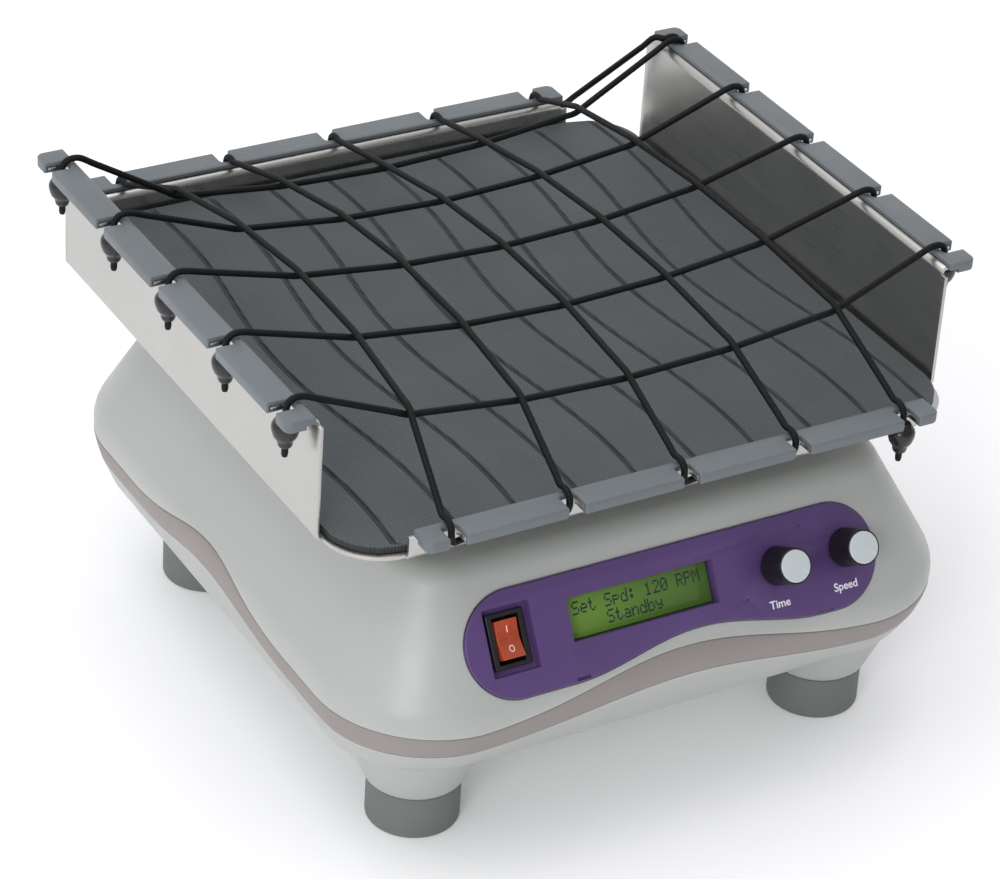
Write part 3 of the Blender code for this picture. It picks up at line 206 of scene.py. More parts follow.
def ribbed_mat():
    colour = rgb(78, 84, 87)
    look = Look("mat_rubber_ribbed")
    split = look.node("SeparateXYZ", {"Vector": look.where})
    wobble = look.spread(look.noise(25.0), -0.35, 0.35)
    phase = look.math("ADD", look.math("MULTIPLY", split.outputs[0], 2.0 * math.pi / 0.00125), wobble)
    rib = look.math("SINE", phase)
    cross = look.math("SINE", look.math("MULTIPLY", split.outputs[1], 2.0 * math.pi / 0.00125))
    knit = look.math("ADD", rib, look.math("MULTIPLY", cross, 0.7))
    raised = look.spread(knit, 0.0, 1.0, -1.5, 1.5)
    worn = look.spread(look.noise(11.0, 6.0), 0.0, 1.0)
    # Painted light and shade on the ribs: a shaded darker copy of the colour fills the troughs and a lit
    # lighter copy the crests, each with random tone.
    shaded_trough = look.blend(worn, tone(colour, 0.62), tone(colour, 0.74))
    light = look.blend(worn, tone(colour, 1.08), tone(colour, 1.26))
    # Painted shade: below the groove lip the colour falls to 0.3 of the mat's, reaching that at the groove
    # floor.
    top = look.spread(split.outputs[2], 0.0, 1.0, GROOVE_FLOOR, GROOVE_LIP)
    look.plug("Base Color", look.blend(top, tone(colour, 0.3), look.blend(raised, shaded_trough, light)))
    look.plug("Roughness", look.spread(raised, 0.62, 0.5, 0.0, 1.0))
    look.shader.inputs["Specular IOR Level"].default_value = 0.45
    look.bumps((raised, 0.00022), (look.noise(3000.0, 2.0), 0.00002))
    return look.made


def braided_cord():
    look = Look("cord_elastic_braided")
    split = look.node("SeparateXYZ", {"Vector": look.where})
    k = 2.0 * math.pi / 0.0019
    total = look.math("ADD", look.math("ADD", split.outputs[0], split.outputs[1]), split.outputs[2])
    other = look.math("SUBTRACT", look.math("ADD", split.outputs[0], split.outputs[2]), split.outputs[1])
    one = look.math("SINE", look.math("MULTIPLY", total, k))
    two = look.math("SINE", look.math("MULTIPLY", other, k))
    knit = look.spread(look.math("MULTIPLY", one, two), 0.0, 1.0, -0.9, 0.9)
    fuzz = look.noise(2600.0, 3.0)
    look.plug("Base Color", look.blend(knit, rgb(4, 5, 6), rgb(14, 16, 18)))
    look.plug("Roughness", look.spread(fuzz, 0.5, 0.72))
    look.shader.inputs["Sheen Weight"].default_value = 0.0
    look.shader.inputs["Specular IOR Level"].default_value = 0.25
    look.shader.inputs["Sheen Roughness"].default_value = 0.5
    look.bumps((knit, 0.00012), (fuzz, 0.00003))
    return look.made


def lit_display():
    """The backlit character display, with painted shade darkening it towards its right end, and faint
    cloudiness.
    """
    look = Look("display_backlit")
    split = look.node("SeparateXYZ", {"Vector": look.where})
    # Painted shade: the colour darkens from the left end of the window to its right end, with faint random
    # cloudiness.
    left = WINDOW_MIDDLE.x * MM - 0.033
    along = look.spread(split.outputs[0], 0.0, 1.0, left, left + 0.066)
    cloudy = look.spread(look.noise(45.0, 2.0), -0.1, 0.1)
    right_end_shade_and_cloud = look.math("ADD", along, cloudy)
    glow = look.blend(right_end_shade_and_cloud, rgb(98, 136, 44), rgb(70, 104, 34))
    look.plug("Base Color", glow)
    look.plug("Emission Color", glow)
    look.shader.inputs["Emission Strength"].default_value = 0.07
    look.plug("Roughness", look.spread(look.noise(400.0), 0.16, 0.24))
    look.shader.inputs["Coat Weight"].default_value = 0.4
    look.bumps((look.noise(700.0), 0.000008))
    return look.made


def clear_rocker():
    look = Look("rocker_translucent")
    deep = look.spread(look.noise(120.0, 3.0), 0.0, 1.0)
    body = look.blend(deep, rgb(176, 66, 36), rgb(196, 88, 50))
    look.plug("Base Color", body)
    look.plug("Emission Color", body)
    look.shader.inputs["Emission Strength"].default_value = 0.06
    look.shader.inputs["Transmission Weight"].default_value = 0.25
    look.shader.inputs["IOR"].default_value = 1.49
    look.shader.inputs["Subsurface Weight"].default_value = 0.3
    look.shader.inputs["Subsurface Radius"].default_value = (0.004, 0.001, 0.0005)
    look.plug("Roughness", look.spread(look.noise(300.0), 0.14, 0.26))
    look.bumps((look.noise(900.0), 0.00001))
    return look.made


WINDOW_SIZE = (65.8, 17.1)
WINDOW_AT = (-14.1, 2.8)
WINDOW_MIDDLE = middle("display_glass")

LOOKS = {
    "housing_plastic": moulded("housing_moulded", rgb(170, 173, 170), 0.38, 0.000018, 1900.0, 0.02),
    "band_plastic": moulded("band_moulded", rgb(140, 133, 130), 0.48, 0.00002, 2000.0, 0.04),
    "foot_rubber": moulded("foot_moulded", rgb(108, 112, 110), 0.62, 0.00003, 1500.0, 0.06),
    "rail_plastic": moulded("rail_moulded", rgb(100, 106, 110), 0.42, 0.00002, 1800.0, 0.05),
    "mat_rubber": ribbed_mat(),
    "stainless_sheet": brushed("stainless_brushed", rgb(188, 187, 183), 0.3, (1500.0, 12.0, 1500.0)),
    "cord_elastic": braided_cord(),
    "stopper_rubber": moulded("stopper_moulded", rgb(24, 25, 27), 0.26, 0.00001, 1600.0, 0.1),
    "panel_plastic": moulded("panel_moulded", rgb(84, 60, 112), 0.38, 0.000012, 2200.0, 0.04),
    "dark_plastic": moulded("dark_moulded", rgb(20, 18, 22), 0.34, 0.000012, 1800.0, 0.1),
    "cap_plastic": moulded("cap_moulded", rgb(190, 197, 200), 0.36, 0.00001, 1800.0, 0.02),
    "rocker_plastic": clear_rocker(),
    "display_green": lit_display(),
    "board_laminate": moulded("board_coated", rgb(28, 96, 52), 0.4, 0.00001, 900.0, 0.12),
    "cast_alloy": moulded("alloy_cast", rgb(196, 197, 199), 0.42, 0.00005, 900.0, 0.08, 1.0),
    "machined_steel": brushed("steel_turned", rgb(188, 188, 192), 0.26, (60.0, 60.0, 2600.0)),
    "motor_steel": moulded("motor_plated", rgb(140, 142, 146), 0.36, 0.00002, 1500.0, 0.08, 1.0),
    "belt_rubber": moulded("belt_moulded", rgb(30, 30, 32), 0.7, 0.00004, 1300.0, 0.12),
}
LEGEND = moulded("legend_ink", rgb(226, 222, 232), 0.5, 0.00001, 2500.0, 0.03)
PIXEL = moulded("display_dots", rgb(24, 48, 40), 0.3, 0.000005, 1500.0, 0.05)
ROCKER_INK = moulded("rocker_ink", rgb(244, 214, 196), 0.45, 0.000005, 1500.0, 0.02)

SLOTS = {part["node"]: part["material_slot"] for part in frame["record"]["subparts"]}
for node, made in NODES.items():
    made.data.materials.clear()
    made.data.materials.append(LOOKS[SLOTS[node]])


# ---- mesh helpers ----
def place_piece(name, data, node, look=None, body=None):
    """Links a piece that stands for a CAD node, or, with a body instead, adds to the object."""
    made = bpy.data.objects.new(name, data)
    bpy.context.scene.collection.objects.link(made)
    if node:
        body = NODES[node]["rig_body"]
        look = look or LOOKS[SLOTS[node]]
        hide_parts(node)
    data.materials.clear()
    data.materials.append(look)
    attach(made, body)
    return made


def finish_mesh(bm, name, angle=32.0, fix=True):
    if fix:
        bmesh.ops.recalc_face_normals(bm, faces=bm.faces)
    bmesh.ops.scale(bm, vec=(MM, MM, MM), verts=bm.verts)
    data = bpy.data.meshes.new(name)
    bm.to_mesh(data)
    bm.free()
    data.shade_smooth()
    data.set_sharp_from_angle(angle=math.radians(angle))
    return data


def settle(data, changes, matrix=None, angle=32.0):
    """The mesh with modifiers applied; changes is a list of (kind, settings)."""
    holder = bpy.data.objects.new(data.name + "_work", data)
    bpy.context.scene.collection.objects.link(holder)
    helpers = []
    for kind, settings in changes:
        step = holder.modifiers.new(kind, kind)
        for key, value in settings.items():
            if key == "object":
                value = bpy.data.objects.new("helper", value)
                bpy.context.scene.collection.objects.link(value)
                helpers.append(value)
            setattr(step, key, value)
    bpy.context.view_layer.update()
    graph = bpy.context.evaluated_depsgraph_get()
    made = bpy.data.meshes.new_from_object(holder.evaluated_get(graph), depsgraph=graph)
    made.name = data.name
    for helper in helpers:
        bpy.data.objects.remove(helper, do_unlink=True)
    bpy.data.objects.remove(holder, do_unlink=True)
    if matrix:
        made.transform(matrix)
    made.shade_smooth()
    made.set_sharp_from_angle(angle=math.radians(angle))
    return made


def bevel_by(width, segments=3, angle=40.0):
    return ("BEVEL", {"width": width * MM, "segments": segments, "limit_method": "ANGLE",
                      "angle_limit": math.radians(angle), "harden_normals": False})


def prism(outline, low, high):
    bm = bmesh.new()
    face = bm.faces.new([bm.verts.new((x, y, low)) for x, y in outline])
    top = bmesh.ops.extrude_face_region(bm, geom=[face])["geom"]
    moved = [item for item in top if isinstance(item, bmesh.types.BMVert)]
    bmesh.ops.translate(bm, vec=(0, 0, high - low), verts=moved)
    return bm


def block(size, centre):
    bm = bmesh.new()
    bmesh.ops.create_cube(bm, size=1.0)
    bmesh.ops.scale(bm, vec=size, verts=bm.verts)
    bmesh.ops.translate(bm, vec=centre, verts=bm.verts)
    return bm


def lathe(profile, steps=64, flutes=None):
    """A turned mesh from (radius, height) pairs, axis to axis; flutes is (count, depth, low, high)."""
    bm = bmesh.new()
    rings = []
    for radius, height in profile:
        if radius < 1e-6:
            rings.append([bm.verts.new((0.0, 0.0, height))])
            continue
        ring = []
        for step in range(steps):
            angle = 2.0 * math.pi * step / steps
            reach = radius
            if flutes and flutes[2] <= height <= flutes[3]:
                reach -= flutes[1] * (0.5 - 0.5 * math.cos(flutes[0] * angle)) ** 2
            ring.append(bm.verts.new((reach * math.cos(angle), reach * math.sin(angle), height)))
        rings.append(ring)
    for low, high in zip(rings, rings[1:]):
        for i in range(steps):
            j = (i + 1) % steps
            corners = [low[i % len(low)], low[j % len(low)], high[j % len(high)], high[i % len(high)]]
            unique = []
            for corner in corners:
                if corner not in unique:
                    unique.append(corner)
            if len(unique) > 2:
                bm.faces.new(unique)
    return bm


def rounded(points, radius, steps=4):
    """The profile with each inner corner rounded off."""
    made = [points[0]]
    for before, corner, after in zip(points, points[1:], points[2:]):
        a, b, c = Vector(before), Vector(corner), Vector(after)
        reach = min(radius, 0.45 * (a - b).length, 0.45 * (c - b).length)
        start = b + (a - b).normalized() * reach
        end = b + (c - b).normalized() * reach
        for step in range(steps + 1):
            t = step / steps
            made.append(tuple((1 - t) ** 2 * start + 2 * t * (1 - t) * b + t * t * end))
    made.append(points[-1])
    return made


def shifted(data, offset):
    data.transform(Matrix.Translation(Vector(offset) * MM))
    return data


def bump(t):
    return 0.5 * (1.0 + math.cos(math.pi * min(abs(t), 1.0)))


# ---- camera, light and floor ----
camera_data = bpy.data.cameras.new("camera")
camera_data.lens = 137.74
camera_data.sensor_width = 36.0
camera_data.sensor_fit = "HORIZONTAL"
camera_data.dof.use_dof = False
camera = bpy.data.objects.new("camera", camera_data)
bpy.context.scene.collection.objects.link(camera)
camera.matrix_world = Matrix((
    (0.8704603, 0.21696978, -0.44184045, -0.70435),
    (-0.48889712, 0.48549026, -0.72476121, -1.16659 + TRAY.y * MM),
    (0.05725796, 0.84689039, 0.52867589, 0.93029),
    (0.0, 0.0, 0.0, 1.0),
))
bpy.context.scene.camera = camera

floor_mesh = bmesh.new()
bmesh.ops.create_grid(floor_mesh, x_segments=8, y_segments=8, size=6000.0)
floor = bpy.data.objects.new("floor", finish_mesh(floor_mesh, "floor"))
bpy.context.scene.collection.objects.link(floor)
floor.data.materials.append(moulded("floor_paper", rgb(250, 250, 252), 0.9, 0.00001, 300.0, 0.005))
paper = floor.data.materials[0].node_tree.nodes["Principled BSDF"]
paper.inputs["Emission Color"].default_value = (1.0, 1.0, 1.0, 1.0)
paper.inputs["Emission Strength"].default_value = 0.12

world = bpy.data.worlds.new("studio")
bpy.context.scene.world = world
world.use_nodes = True
sky = world.node_tree.nodes.new("ShaderNodeTexCoord")
turned = world.node_tree.nodes.new("ShaderNodeVectorMath")
turned.operation = "DOT_PRODUCT"
turned.inputs[1].default_value = (0.35, -0.93, -0.05)
level = world.node_tree.nodes.new("ShaderNodeMapRange")
level.interpolation_type = "SMOOTHSTEP"
for socket, value in (("From Min", -0.15), ("From Max", 0.85), ("To Min", 0.88), ("To Max", 0.4)):
    level.inputs[socket].default_value = value
world.node_tree.links.new(sky.outputs["Generated"], turned.inputs[0])
world.node_tree.links.new(turned.outputs["Value"], level.inputs["Value"])
world.node_tree.links.new(level.outputs["Result"], world.node_tree.nodes["Background"].inputs["Strength"])
world.node_tree.nodes["Background"].inputs["Color"].default_value = (0.99, 0.99, 1.0, 1.0)


def soft_light(name, at, target, size, power, colour=(1.0, 1.0, 1.0)):
    data = bpy.data.lights.new(name, "AREA")
    data.shape = "RECTANGLE"
    data.size, data.size_y = size
    data.energy = power
    data.color = colour
    made = bpy.data.objects.new(name, data)
    bpy.context.scene.collection.objects.link(made)
    made.location = at
    away = Vector(at) - Vector(target)
    made.rotation_euler = away.to_track_quat("Z", "Y").to_euler()
    return made


soft_light("key", (-0.25, 0.25, 1.7), (0.0, 0.0, 0.1), (1.5, 1.5), 9.0)
soft_light("fill", (-1.3, -1.2, 0.85), (0.0, 0.0, 0.1), (0.6, 0.6), 10.0)
bpy.context.scene.view_settings.view_transform = "Standard"

# ---- housing, drawn finer than the CAD, from the same sizes ----
HALF_X = 138.0
HALF_Y = 147.5
CORNER_RADIUS = 50.0
WAIST_Z = 71.5
WAIST_BLEND = 4.0
LEAN = 0.6
SHELL_BOTTOM = 45.0
BOTTOM_INSET = 10.5
BOTTOM_SKEW = 0.25
DECK_Z = 126.0
DECK_EDGE = 12.0
WALL = 3.0
BAND_CORNER_TOP = 68.0
BAND_HEIGHT = 11.0
LEAN_ANGLE = math.atan(LEAN)
SEAM = 0.3
CORNER_STEPS = 18
SIDE_STEPS = 30


def housing_outline():
    points = []
    centre_x = HALF_X - CORNER_RADIUS
    centre_y = HALF_Y - CORNER_RADIUS
    for quarter in range(4):
        side_x = 1 if quarter in (0, 3) else -1
        side_y = 1 if quarter in (0, 1) else -1
        centre = Vector((side_x * centre_x, side_y * centre_y))
        for step in range(CORNER_STEPS + 1):
            angle = math.radians(90.0 * (quarter + step / CORNER_STEPS))
            normal = Vector((math.cos(angle), math.sin(angle)))
            points.append((centre + CORNER_RADIUS * normal, normal))
        start, normal = points[-1]
        along = Vector((-normal.y, normal.x))
        length = 2.0 * (centre_x if quarter in (0, 2) else centre_y)
        for step in range(1, SIDE_STEPS):
            points.append((start + along * length * step / SIDE_STEPS, normal))
    return points


OUTLINE = housing_outline()


def band_top(point):
    return BAND_CORNER_TOP + 13.0 * bump(point.x / 98.0) + 10.8 * bump(point.y / 68.0)


def inset(z):
    if z < WAIST_Z:
        return BOTTOM_INSET * ((WAIST_Z - z) / (WAIST_Z - SHELL_BOTTOM)) ** 1.6
    if z < WAIST_Z + 2.0 * WAIST_BLEND:
        return LEAN * (z - WAIST_Z) ** 2 / (4.0 * WAIST_BLEND)
    return LEAN * (z - WAIST_Z - WAIST_BLEND)


def skin_ring(bm, height_at, out):
    ring = []
    for point, normal in OUTLINE:
        z = height_at(point)
        draw = inset(z)
        if z < WAIST_Z:
            draw *= 1.0 + BOTTOM_SKEW * (normal.y**2 - normal.x**2)
        place = point + normal * (out - draw)
        ring.append(bm.verts.new((place.x, place.y, z)))
    return ring


def bridge(bm, rings, closed=False):
    for low, high in zip(rings, rings[1:] + (rings[:1] if closed else [])):
        for i in range(len(low)):
            j = (i + 1) % len(low)
            bm.faces.new((low[i], low[j], high[j], high[i]))


def between(low_at, high_at, share):
    return lambda p: low_at(p) + share * (high_at(p) - low_at(p))


def upper_rings(bm, out, edge_radius):
    foot = lambda p: band_top(p) + SEAM
    level = lambda p: 88.0
    rings = [skin_ring(bm, between(foot, level, s / 8), out) for s in range(9)]
    rings.append(skin_ring(bm, lambda p: 99.0, out))
    edge_z = DECK_Z - DECK_EDGE
    tangent = edge_z + DECK_EDGE * math.sin(LEAN_ANGLE)
    edge_inset = DECK_EDGE * math.cos(LEAN_ANGLE) + inset(tangent)
    for step in range(9):
        angle = LEAN_ANGLE + (math.pi / 2 - LEAN_ANGLE) * step / 8
        distance = edge_inset - edge_radius * math.cos(angle)
        z = edge_z + edge_radius * math.sin(angle)
        ring = []
        for point, normal in OUTLINE:
            place = point - normal * distance
            ring.append(bm.verts.new((place.x, place.y, z)))
        rings.append(ring)
    bridge(bm, rings)
    bm.faces.new(rings[-1])
    return rings


bm = bmesh.new()
skin = upper_rings(bm, 0.0, DECK_EDGE)
lining = upper_rings(bm, -WALL / math.cos(LEAN_ANGLE), DECK_EDGE - WALL)
bridge(bm, [skin[0], lining[0]])
upper = finish_mesh(bm, "upper_shell_fine")

PANEL_Z = 97.4
PANEL_ORIGIN = Vector((-1.0, -(HALF_Y - inset(PANEL_Z)), PANEL_Z))
PANEL = Matrix.Translation(PANEL_ORIGIN * MM) @ Matrix.Rotation(math.pi / 2 - LEAN_ANGLE, 4, "X")
TO_WORLD = Matrix.Translation(HOUSING * MM)
PANEL_WORLD = TO_WORLD @ PANEL
PANEL_LOBE = 21.35
PANEL_HALF = 93.0


def panel_outline(grow):
    lobe_x = PANEL_HALF - PANEL_LOBE
    radius = PANEL_LOBE + grow
    points = []
    for centre, start in ((lobe_x, -90.0), (-lobe_x, 90.0)):
        for step in range(37):
            angle = math.radians(start + 5.0 * step)
            points.append((centre + radius * math.cos(angle), radius * math.sin(angle)))
    for step in range(1, 72):
        x = -lobe_x + 2.0 * lobe_x * step / 72
        points.append((x, 8.3 * bump((x - 8.0) / 58.0) - radius))
    return points


def in_panel(bm, name):
    data = finish_mesh(bm, name)
    data.transform(PANEL)
    return data


def minus(data):
    return ("BOOLEAN", {"operation": "DIFFERENCE", "object": data, "solver": "EXACT"})


def plus(data):
    return ("BOOLEAN", {"operation": "UNION", "object": data, "solver": "EXACT"})


SWITCH_AT = (-73.2, 1.9)
RECESS = (20.4, 26.5)
KNOBS = ((46.9, 2.0), (78.8, 2.0))


def well(size, grow, low, high, at):
    return block((size[0] + 2 * grow, size[1] + 2 * grow, high - low), (*at, 0.5 * (low + high)))


cuts = [minus(in_panel(prism(panel_outline(0.45), -1.2, 12.0), "pocket"))]
cuts.append(minus(in_panel(well(WINDOW_SIZE, 1.9, -20.0, 5.0, WINDOW_AT), "window")))
cuts.append(minus(in_panel(well(RECESS, 1.9, -20.0, 5.0, SWITCH_AT), "switch")))
for at in KNOBS:
    rod = lathe([(0.0, 30.0), (3.8, 30.0), (3.8, -30.0), (0.0, -30.0)], 32)
    bmesh.ops.translate(rod, vec=(*at, 0.0), verts=rod.verts)
    cuts.append(minus(in_panel(rod, "knob_hole")))
inlet_low, inlet_high = (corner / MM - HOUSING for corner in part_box("power_inlet"))
inlet_size = inlet_high - inlet_low
inlet_middle = 0.5 * (inlet_low + inlet_high)
hole = block((inlet_size.x + 0.8, 80.0, inlet_size.z + 0.8), inlet_middle)
cuts.append(minus(finish_mesh(hole, "inlet_hole")))
DECK_OPENINGS = (("crank_spin", 25.5), ("idler_1_spin", 21.0), ("idler_2_spin", 21.0), ("idler_3_spin", 21.0))
for joint, sweep in DECK_OPENINGS:
    at = [j["pos_m"] for j in frame["joints"] if j["name"] == joint][0]
    rod = lathe([(0.0, 140.0), (sweep, 140.0), (sweep, 112.0), (0.0, 112.0)], 64)
    bmesh.ops.translate(rod, vec=(at[0] / MM - HOUSING.x, at[1] / MM - HOUSING.y, 0.0), verts=rod.verts)
    cuts.append(minus(finish_mesh(rod, "deck_opening")))
upper = settle(upper, cuts, TO_WORLD)
place_piece("upper_shell_fine", upper, "upper_shell")

bm = bmesh.new()
rim = lambda p: band_top(p) - BAND_HEIGHT - SEAM
foot_line = lambda p: SHELL_BOTTOM + 1.4
rings = [skin_ring(bm, lambda p: SHELL_BOTTOM, -1.6), skin_ring(bm, lambda p: SHELL_BOTTOM + 0.4, -0.5)]
rings += [skin_ring(bm, between(foot_line, rim, s / 7), 0.0) for s in range(8)]
rings += [skin_ring(bm, between(rim, lambda p: 48.0, s / 3), -WALL) for s in range(4)]
bridge(bm, rings)
bm.faces.new(rings[0])
bm.faces.new(rings[-1])
lower = finish_mesh(bm, "lower_shell_fine")
FEET = ("foot_front_left", "foot_front_right", "foot_back_left", "foot_back_right")
LEG = rounded([
    (0.0, 46.5), (31.0, 46.5), (30.2, 44.5), (27.6, 38.0),
    (24.2, 29.5), (20.6, 20.9), (19.2, 19.3), (0.0, 19.3),
], 3.0, 3)
legs = []
for foot in FEET:
    at = middle(foot) - HOUSING
    leg = lathe(LEG, 64)
    bmesh.ops.translate(leg, vec=(at.x, at.y, 0.0), verts=leg.verts)
    legs.append(plus(finish_mesh(leg, "leg")))
place_piece("lower_shell_fine", settle(lower, legs, TO_WORLD), "lower_shell")

bm = bmesh.new()
high = lambda p: band_top(p)
low = lambda p: band_top(p) - BAND_HEIGHT
rings = [skin_ring(bm, low, 0.0)]
for share, out in ((0.03, 0.25), (0.08, 0.4), (0.3, 0.4), (0.5, 0.4), (0.7, 0.4), (0.92, 0.4), (0.97, 0.25)):
    rings.append(skin_ring(bm, between(low, high, share), out))
rings += [skin_ring(bm, high, 0.0), skin_ring(bm, high, -3.0), skin_ring(bm, low, -3.0)]
bridge(bm, rings, True)
place_piece("trim_band_fine", shifted(finish_mesh(bm, "trim_band_fine", 50.0), HOUSING), "trim_band")

FOOT = rounded([
    (0.0, 19.0), (19.0, 19.0), (19.0, 0.0), (6.0, 0.0), (6.0, 6.0), (0.0, 6.0),
], 1.4, 4)
for foot in FEET:
    at = middle(foot)
    place_piece(foot + "_fine", shifted(finish_mesh(lathe(FOOT), foot), (at.x, at.y, 0.0)), foot)

# ---- control panel ----
plate = finish_mesh(prism(panel_outline(0.0), -0.9, 1.0), "control_panel_fine")
plate = settle(plate, [bevel_by(0.55, 3)])
rocker_hole = well((13.6, 20.0), 0.4, -20.0, 20.0, SWITCH_AT)
changes = [
    plus(finish_mesh(well(WINDOW_SIZE, 1.5, -5.2, -0.3, WINDOW_AT), "collar")),
    plus(finish_mesh(well(RECESS, 1.5, -4.2, -0.3, SWITCH_AT), "switch_well")),
    minus(finish_mesh(well(WINDOW_SIZE, 0.0, -20.0, 20.0, WINDOW_AT), "window")),
    minus(finish_mesh(well(RECESS, 0.0, -3.0, 20.0, SWITCH_AT), "recess")),
    minus(finish_mesh(rocker_hole, "body_hole")),
]
for at in KNOBS:
    rod = lathe([(0.0, 30.0), (3.8, 30.0), (3.8, -30.0), (0.0, -30.0)], 32)
    bmesh.ops.translate(rod, vec=(*at, 0.0), verts=rod.verts)
    changes.append(minus(finish_mesh(rod, "knob_hole")))
SNAPS = (
    (-57.0, 21.6, 9.0), (-36.0, 21.6, 5.0), (54.0, 21.6, 9.0),
    (30.0, 21.6, 5.0), (-46.0, -20.0, 6.0), (64.0, -20.9, 9.0),
)
for x, y, length in SNAPS:
    changes.append(minus(finish_mesh(block((length, 1.3, 4.0), (x, y, 1.6)), "snap")))
for x, y in ((31.0, -8.0), (60.0, 15.0)):
    rod = lathe([(0.0, 3.0), (0.45, 3.0), (0.45, 0.4), (0.0, 0.4)], 16)
    bmesh.ops.translate(rod, vec=(x, y, 0.0), verts=rod.verts)
    changes.append(minus(finish_mesh(rod, "pin_hole")))
changes.append(bevel_by(0.25, 2, 50.0))
place_piece("control_panel_fine", settle(plate, changes, PANEL_WORLD), "control_panel")

glass = finish_mesh(block((65.0, 16.3, 1.0), (*WINDOW_AT, -4.7)), "display_glass_fine")
glass = settle(glass, [bevel_by(0.2, 2)], PANEL_WORLD)
place_piece("display_glass_fine", glass, "display_glass")

DOT = ((-0.3, -0.36), (0.3, -0.36), (0.3, 0.36), (-0.3, 0.36))
GLYPHS = {
    "S": (15, 16, 16, 14, 1, 1, 30), "e": (0, 0, 14, 17, 31, 16, 14), "t": (8, 8, 28, 8, 8, 9, 6),
    "p": (0, 0, 30, 17, 30, 16, 16), "d": (1, 1, 13, 19, 17, 17, 15), ":": (0, 12, 12, 0, 12, 12, 0),
    "1": (4, 12, 4, 4, 4, 4, 14), "2": (14, 17, 1, 2, 4, 8, 31), "0": (14, 17, 19, 21, 25, 17, 14),
    "R": (30, 17, 17, 30, 20, 18, 17), "P": (30, 17, 17, 30, 16, 16, 16), "M": (17, 27, 21, 21, 17, 17, 17),
    "a": (0, 0, 14, 1, 15, 17, 15), "n": (0, 0, 22, 25, 17, 17, 17), "b": (16, 16, 22, 25, 17, 17, 30),
    "y": (0, 0, 17, 17, 15, 1, 14),
}
bm = bmesh.new()
for line, words in enumerate(("Set Spd: 120 RPM", "    Standby")):
    for column, letter in enumerate(words):
        for row, bits in enumerate(GLYPHS.get(letter, ())):
            for bit in range(5):
                if not bits >> (4 - bit) & 1:
                    continue
                x = WINDOW_AT[0] + (column - 7.5) * 3.62 + (bit - 2) * 0.62
                y = WINDOW_AT[1] + 3.35 - 6.4 * line - (row - 3) * 0.74
                corners = [(x + a, y + b, -4.17) for a, b in DOT]
                top = [bm.verts.new(corner) for corner in corners]
                base = [bm.verts.new((cx, cy, -4.21)) for cx, cy, _ in corners]
                bm.faces.new(top)
                bm.faces.new(base[::-1])
                for i in range(4):
                    bm.faces.new((top[i - 1], top[i], base[i], base[i - 1])[::-1])
dots = finish_mesh(bm, "display_characters")
dots.transform(PANEL_WORLD)
place_piece("display_characters", dots, None, PIXEL, "base")


def lettering(name, words, size, at, height, weight):
    data = bpy.data.curves.new(name, "FONT")
    data.body = words
    data.size = size * MM
    data.align_x = "CENTER"
    data.align_y = "CENTER"
    data.extrude = 0.04 * MM
    data.offset = weight * MM
    data.resolution_u = 6
    holder = bpy.data.objects.new(name, data)
    bpy.context.scene.collection.objects.link(holder)
    bpy.context.view_layer.update()
    graph = bpy.context.evaluated_depsgraph_get()
    made = bpy.data.meshes.new_from_object(holder.evaluated_get(graph), depsgraph=graph)
    bpy.data.objects.remove(holder, do_unlink=True)
    made.name = name
    made.transform(PANEL_WORLD @ Matrix.Translation(Vector((*at, height)) * MM))
    return place_piece(name, made, None, LEGEND, "base")


lettering("legend_time", "Time", 4.6, (45.0, -12.9), 1.02, 0.07)
lettering("legend_speed", "Speed", 4.6, (76.0, -12.9), 1.02, 0.07)

# ---- switch ----
bezel = finish_mesh(block((16.4, 22.0, 1.8), (*SWITCH_AT, -1.8)), "switch_body_fine")
bezel = settle(bezel, [bevel_by(0.7, 4)])
changes = [
    plus(finish_mesh(block((13.6, 20.0, 18.0), (*SWITCH_AT, -10.8)), "case")),
    minus(finish_mesh(block((11.6, 18.4, 30.0), (*SWITCH_AT, 2.1)), "rocker_pocket")),
]
for y in (-5.5, 0.0, 5.5):
    changes.append(plus(finish_mesh(block((4.8, 0.8, 7.0), (SWITCH_AT[0], SWITCH_AT[1] + y, -22.7)), "lug")))
changes.append(bevel_by(0.2, 2, 60.0))
place_piece("switch_body_fine", settle(bezel, changes, PANEL_WORLD), "switch_body")

TILT = math.radians(-8.0)
ROCKER = PANEL_WORLD @ Matrix.Translation(Vector((*SWITCH_AT, -2.1)) * MM) @ Matrix.Rotation(TILT, 4, "X")
outline = [(-7.6, 2.7), (-7.6, -1.0), (-5.4, -4.5), (0.0, -6.4), (5.4, -4.5), (7.6, -1.0), (7.6, 2.7)]
for step in range(1, 12):
    y = 7.6 - 15.2 * step / 12
    outline.append((y, 0.9 + 1.8 * (abs(y) / 7.6) ** 1.5))
bm = bmesh.new()
ends = [[bm.verts.new((x, y, z)) for y, z in outline] for x in (-4.9, 4.9)]
bridge(bm, ends)
bm.faces.new(ends[0])
bm.faces.new(ends[1])
rocker = settle(finish_mesh(bm, "switch_rocker_fine"), [bevel_by(0.55, 4, 50.0)], ROCKER)
place_piece("switch_rocker_fine", rocker, "switch_rocker")


def on_rocker(y):
    return 0.9 + 1.8 * (abs(y) / 7.6) ** 1.5 + 0.03


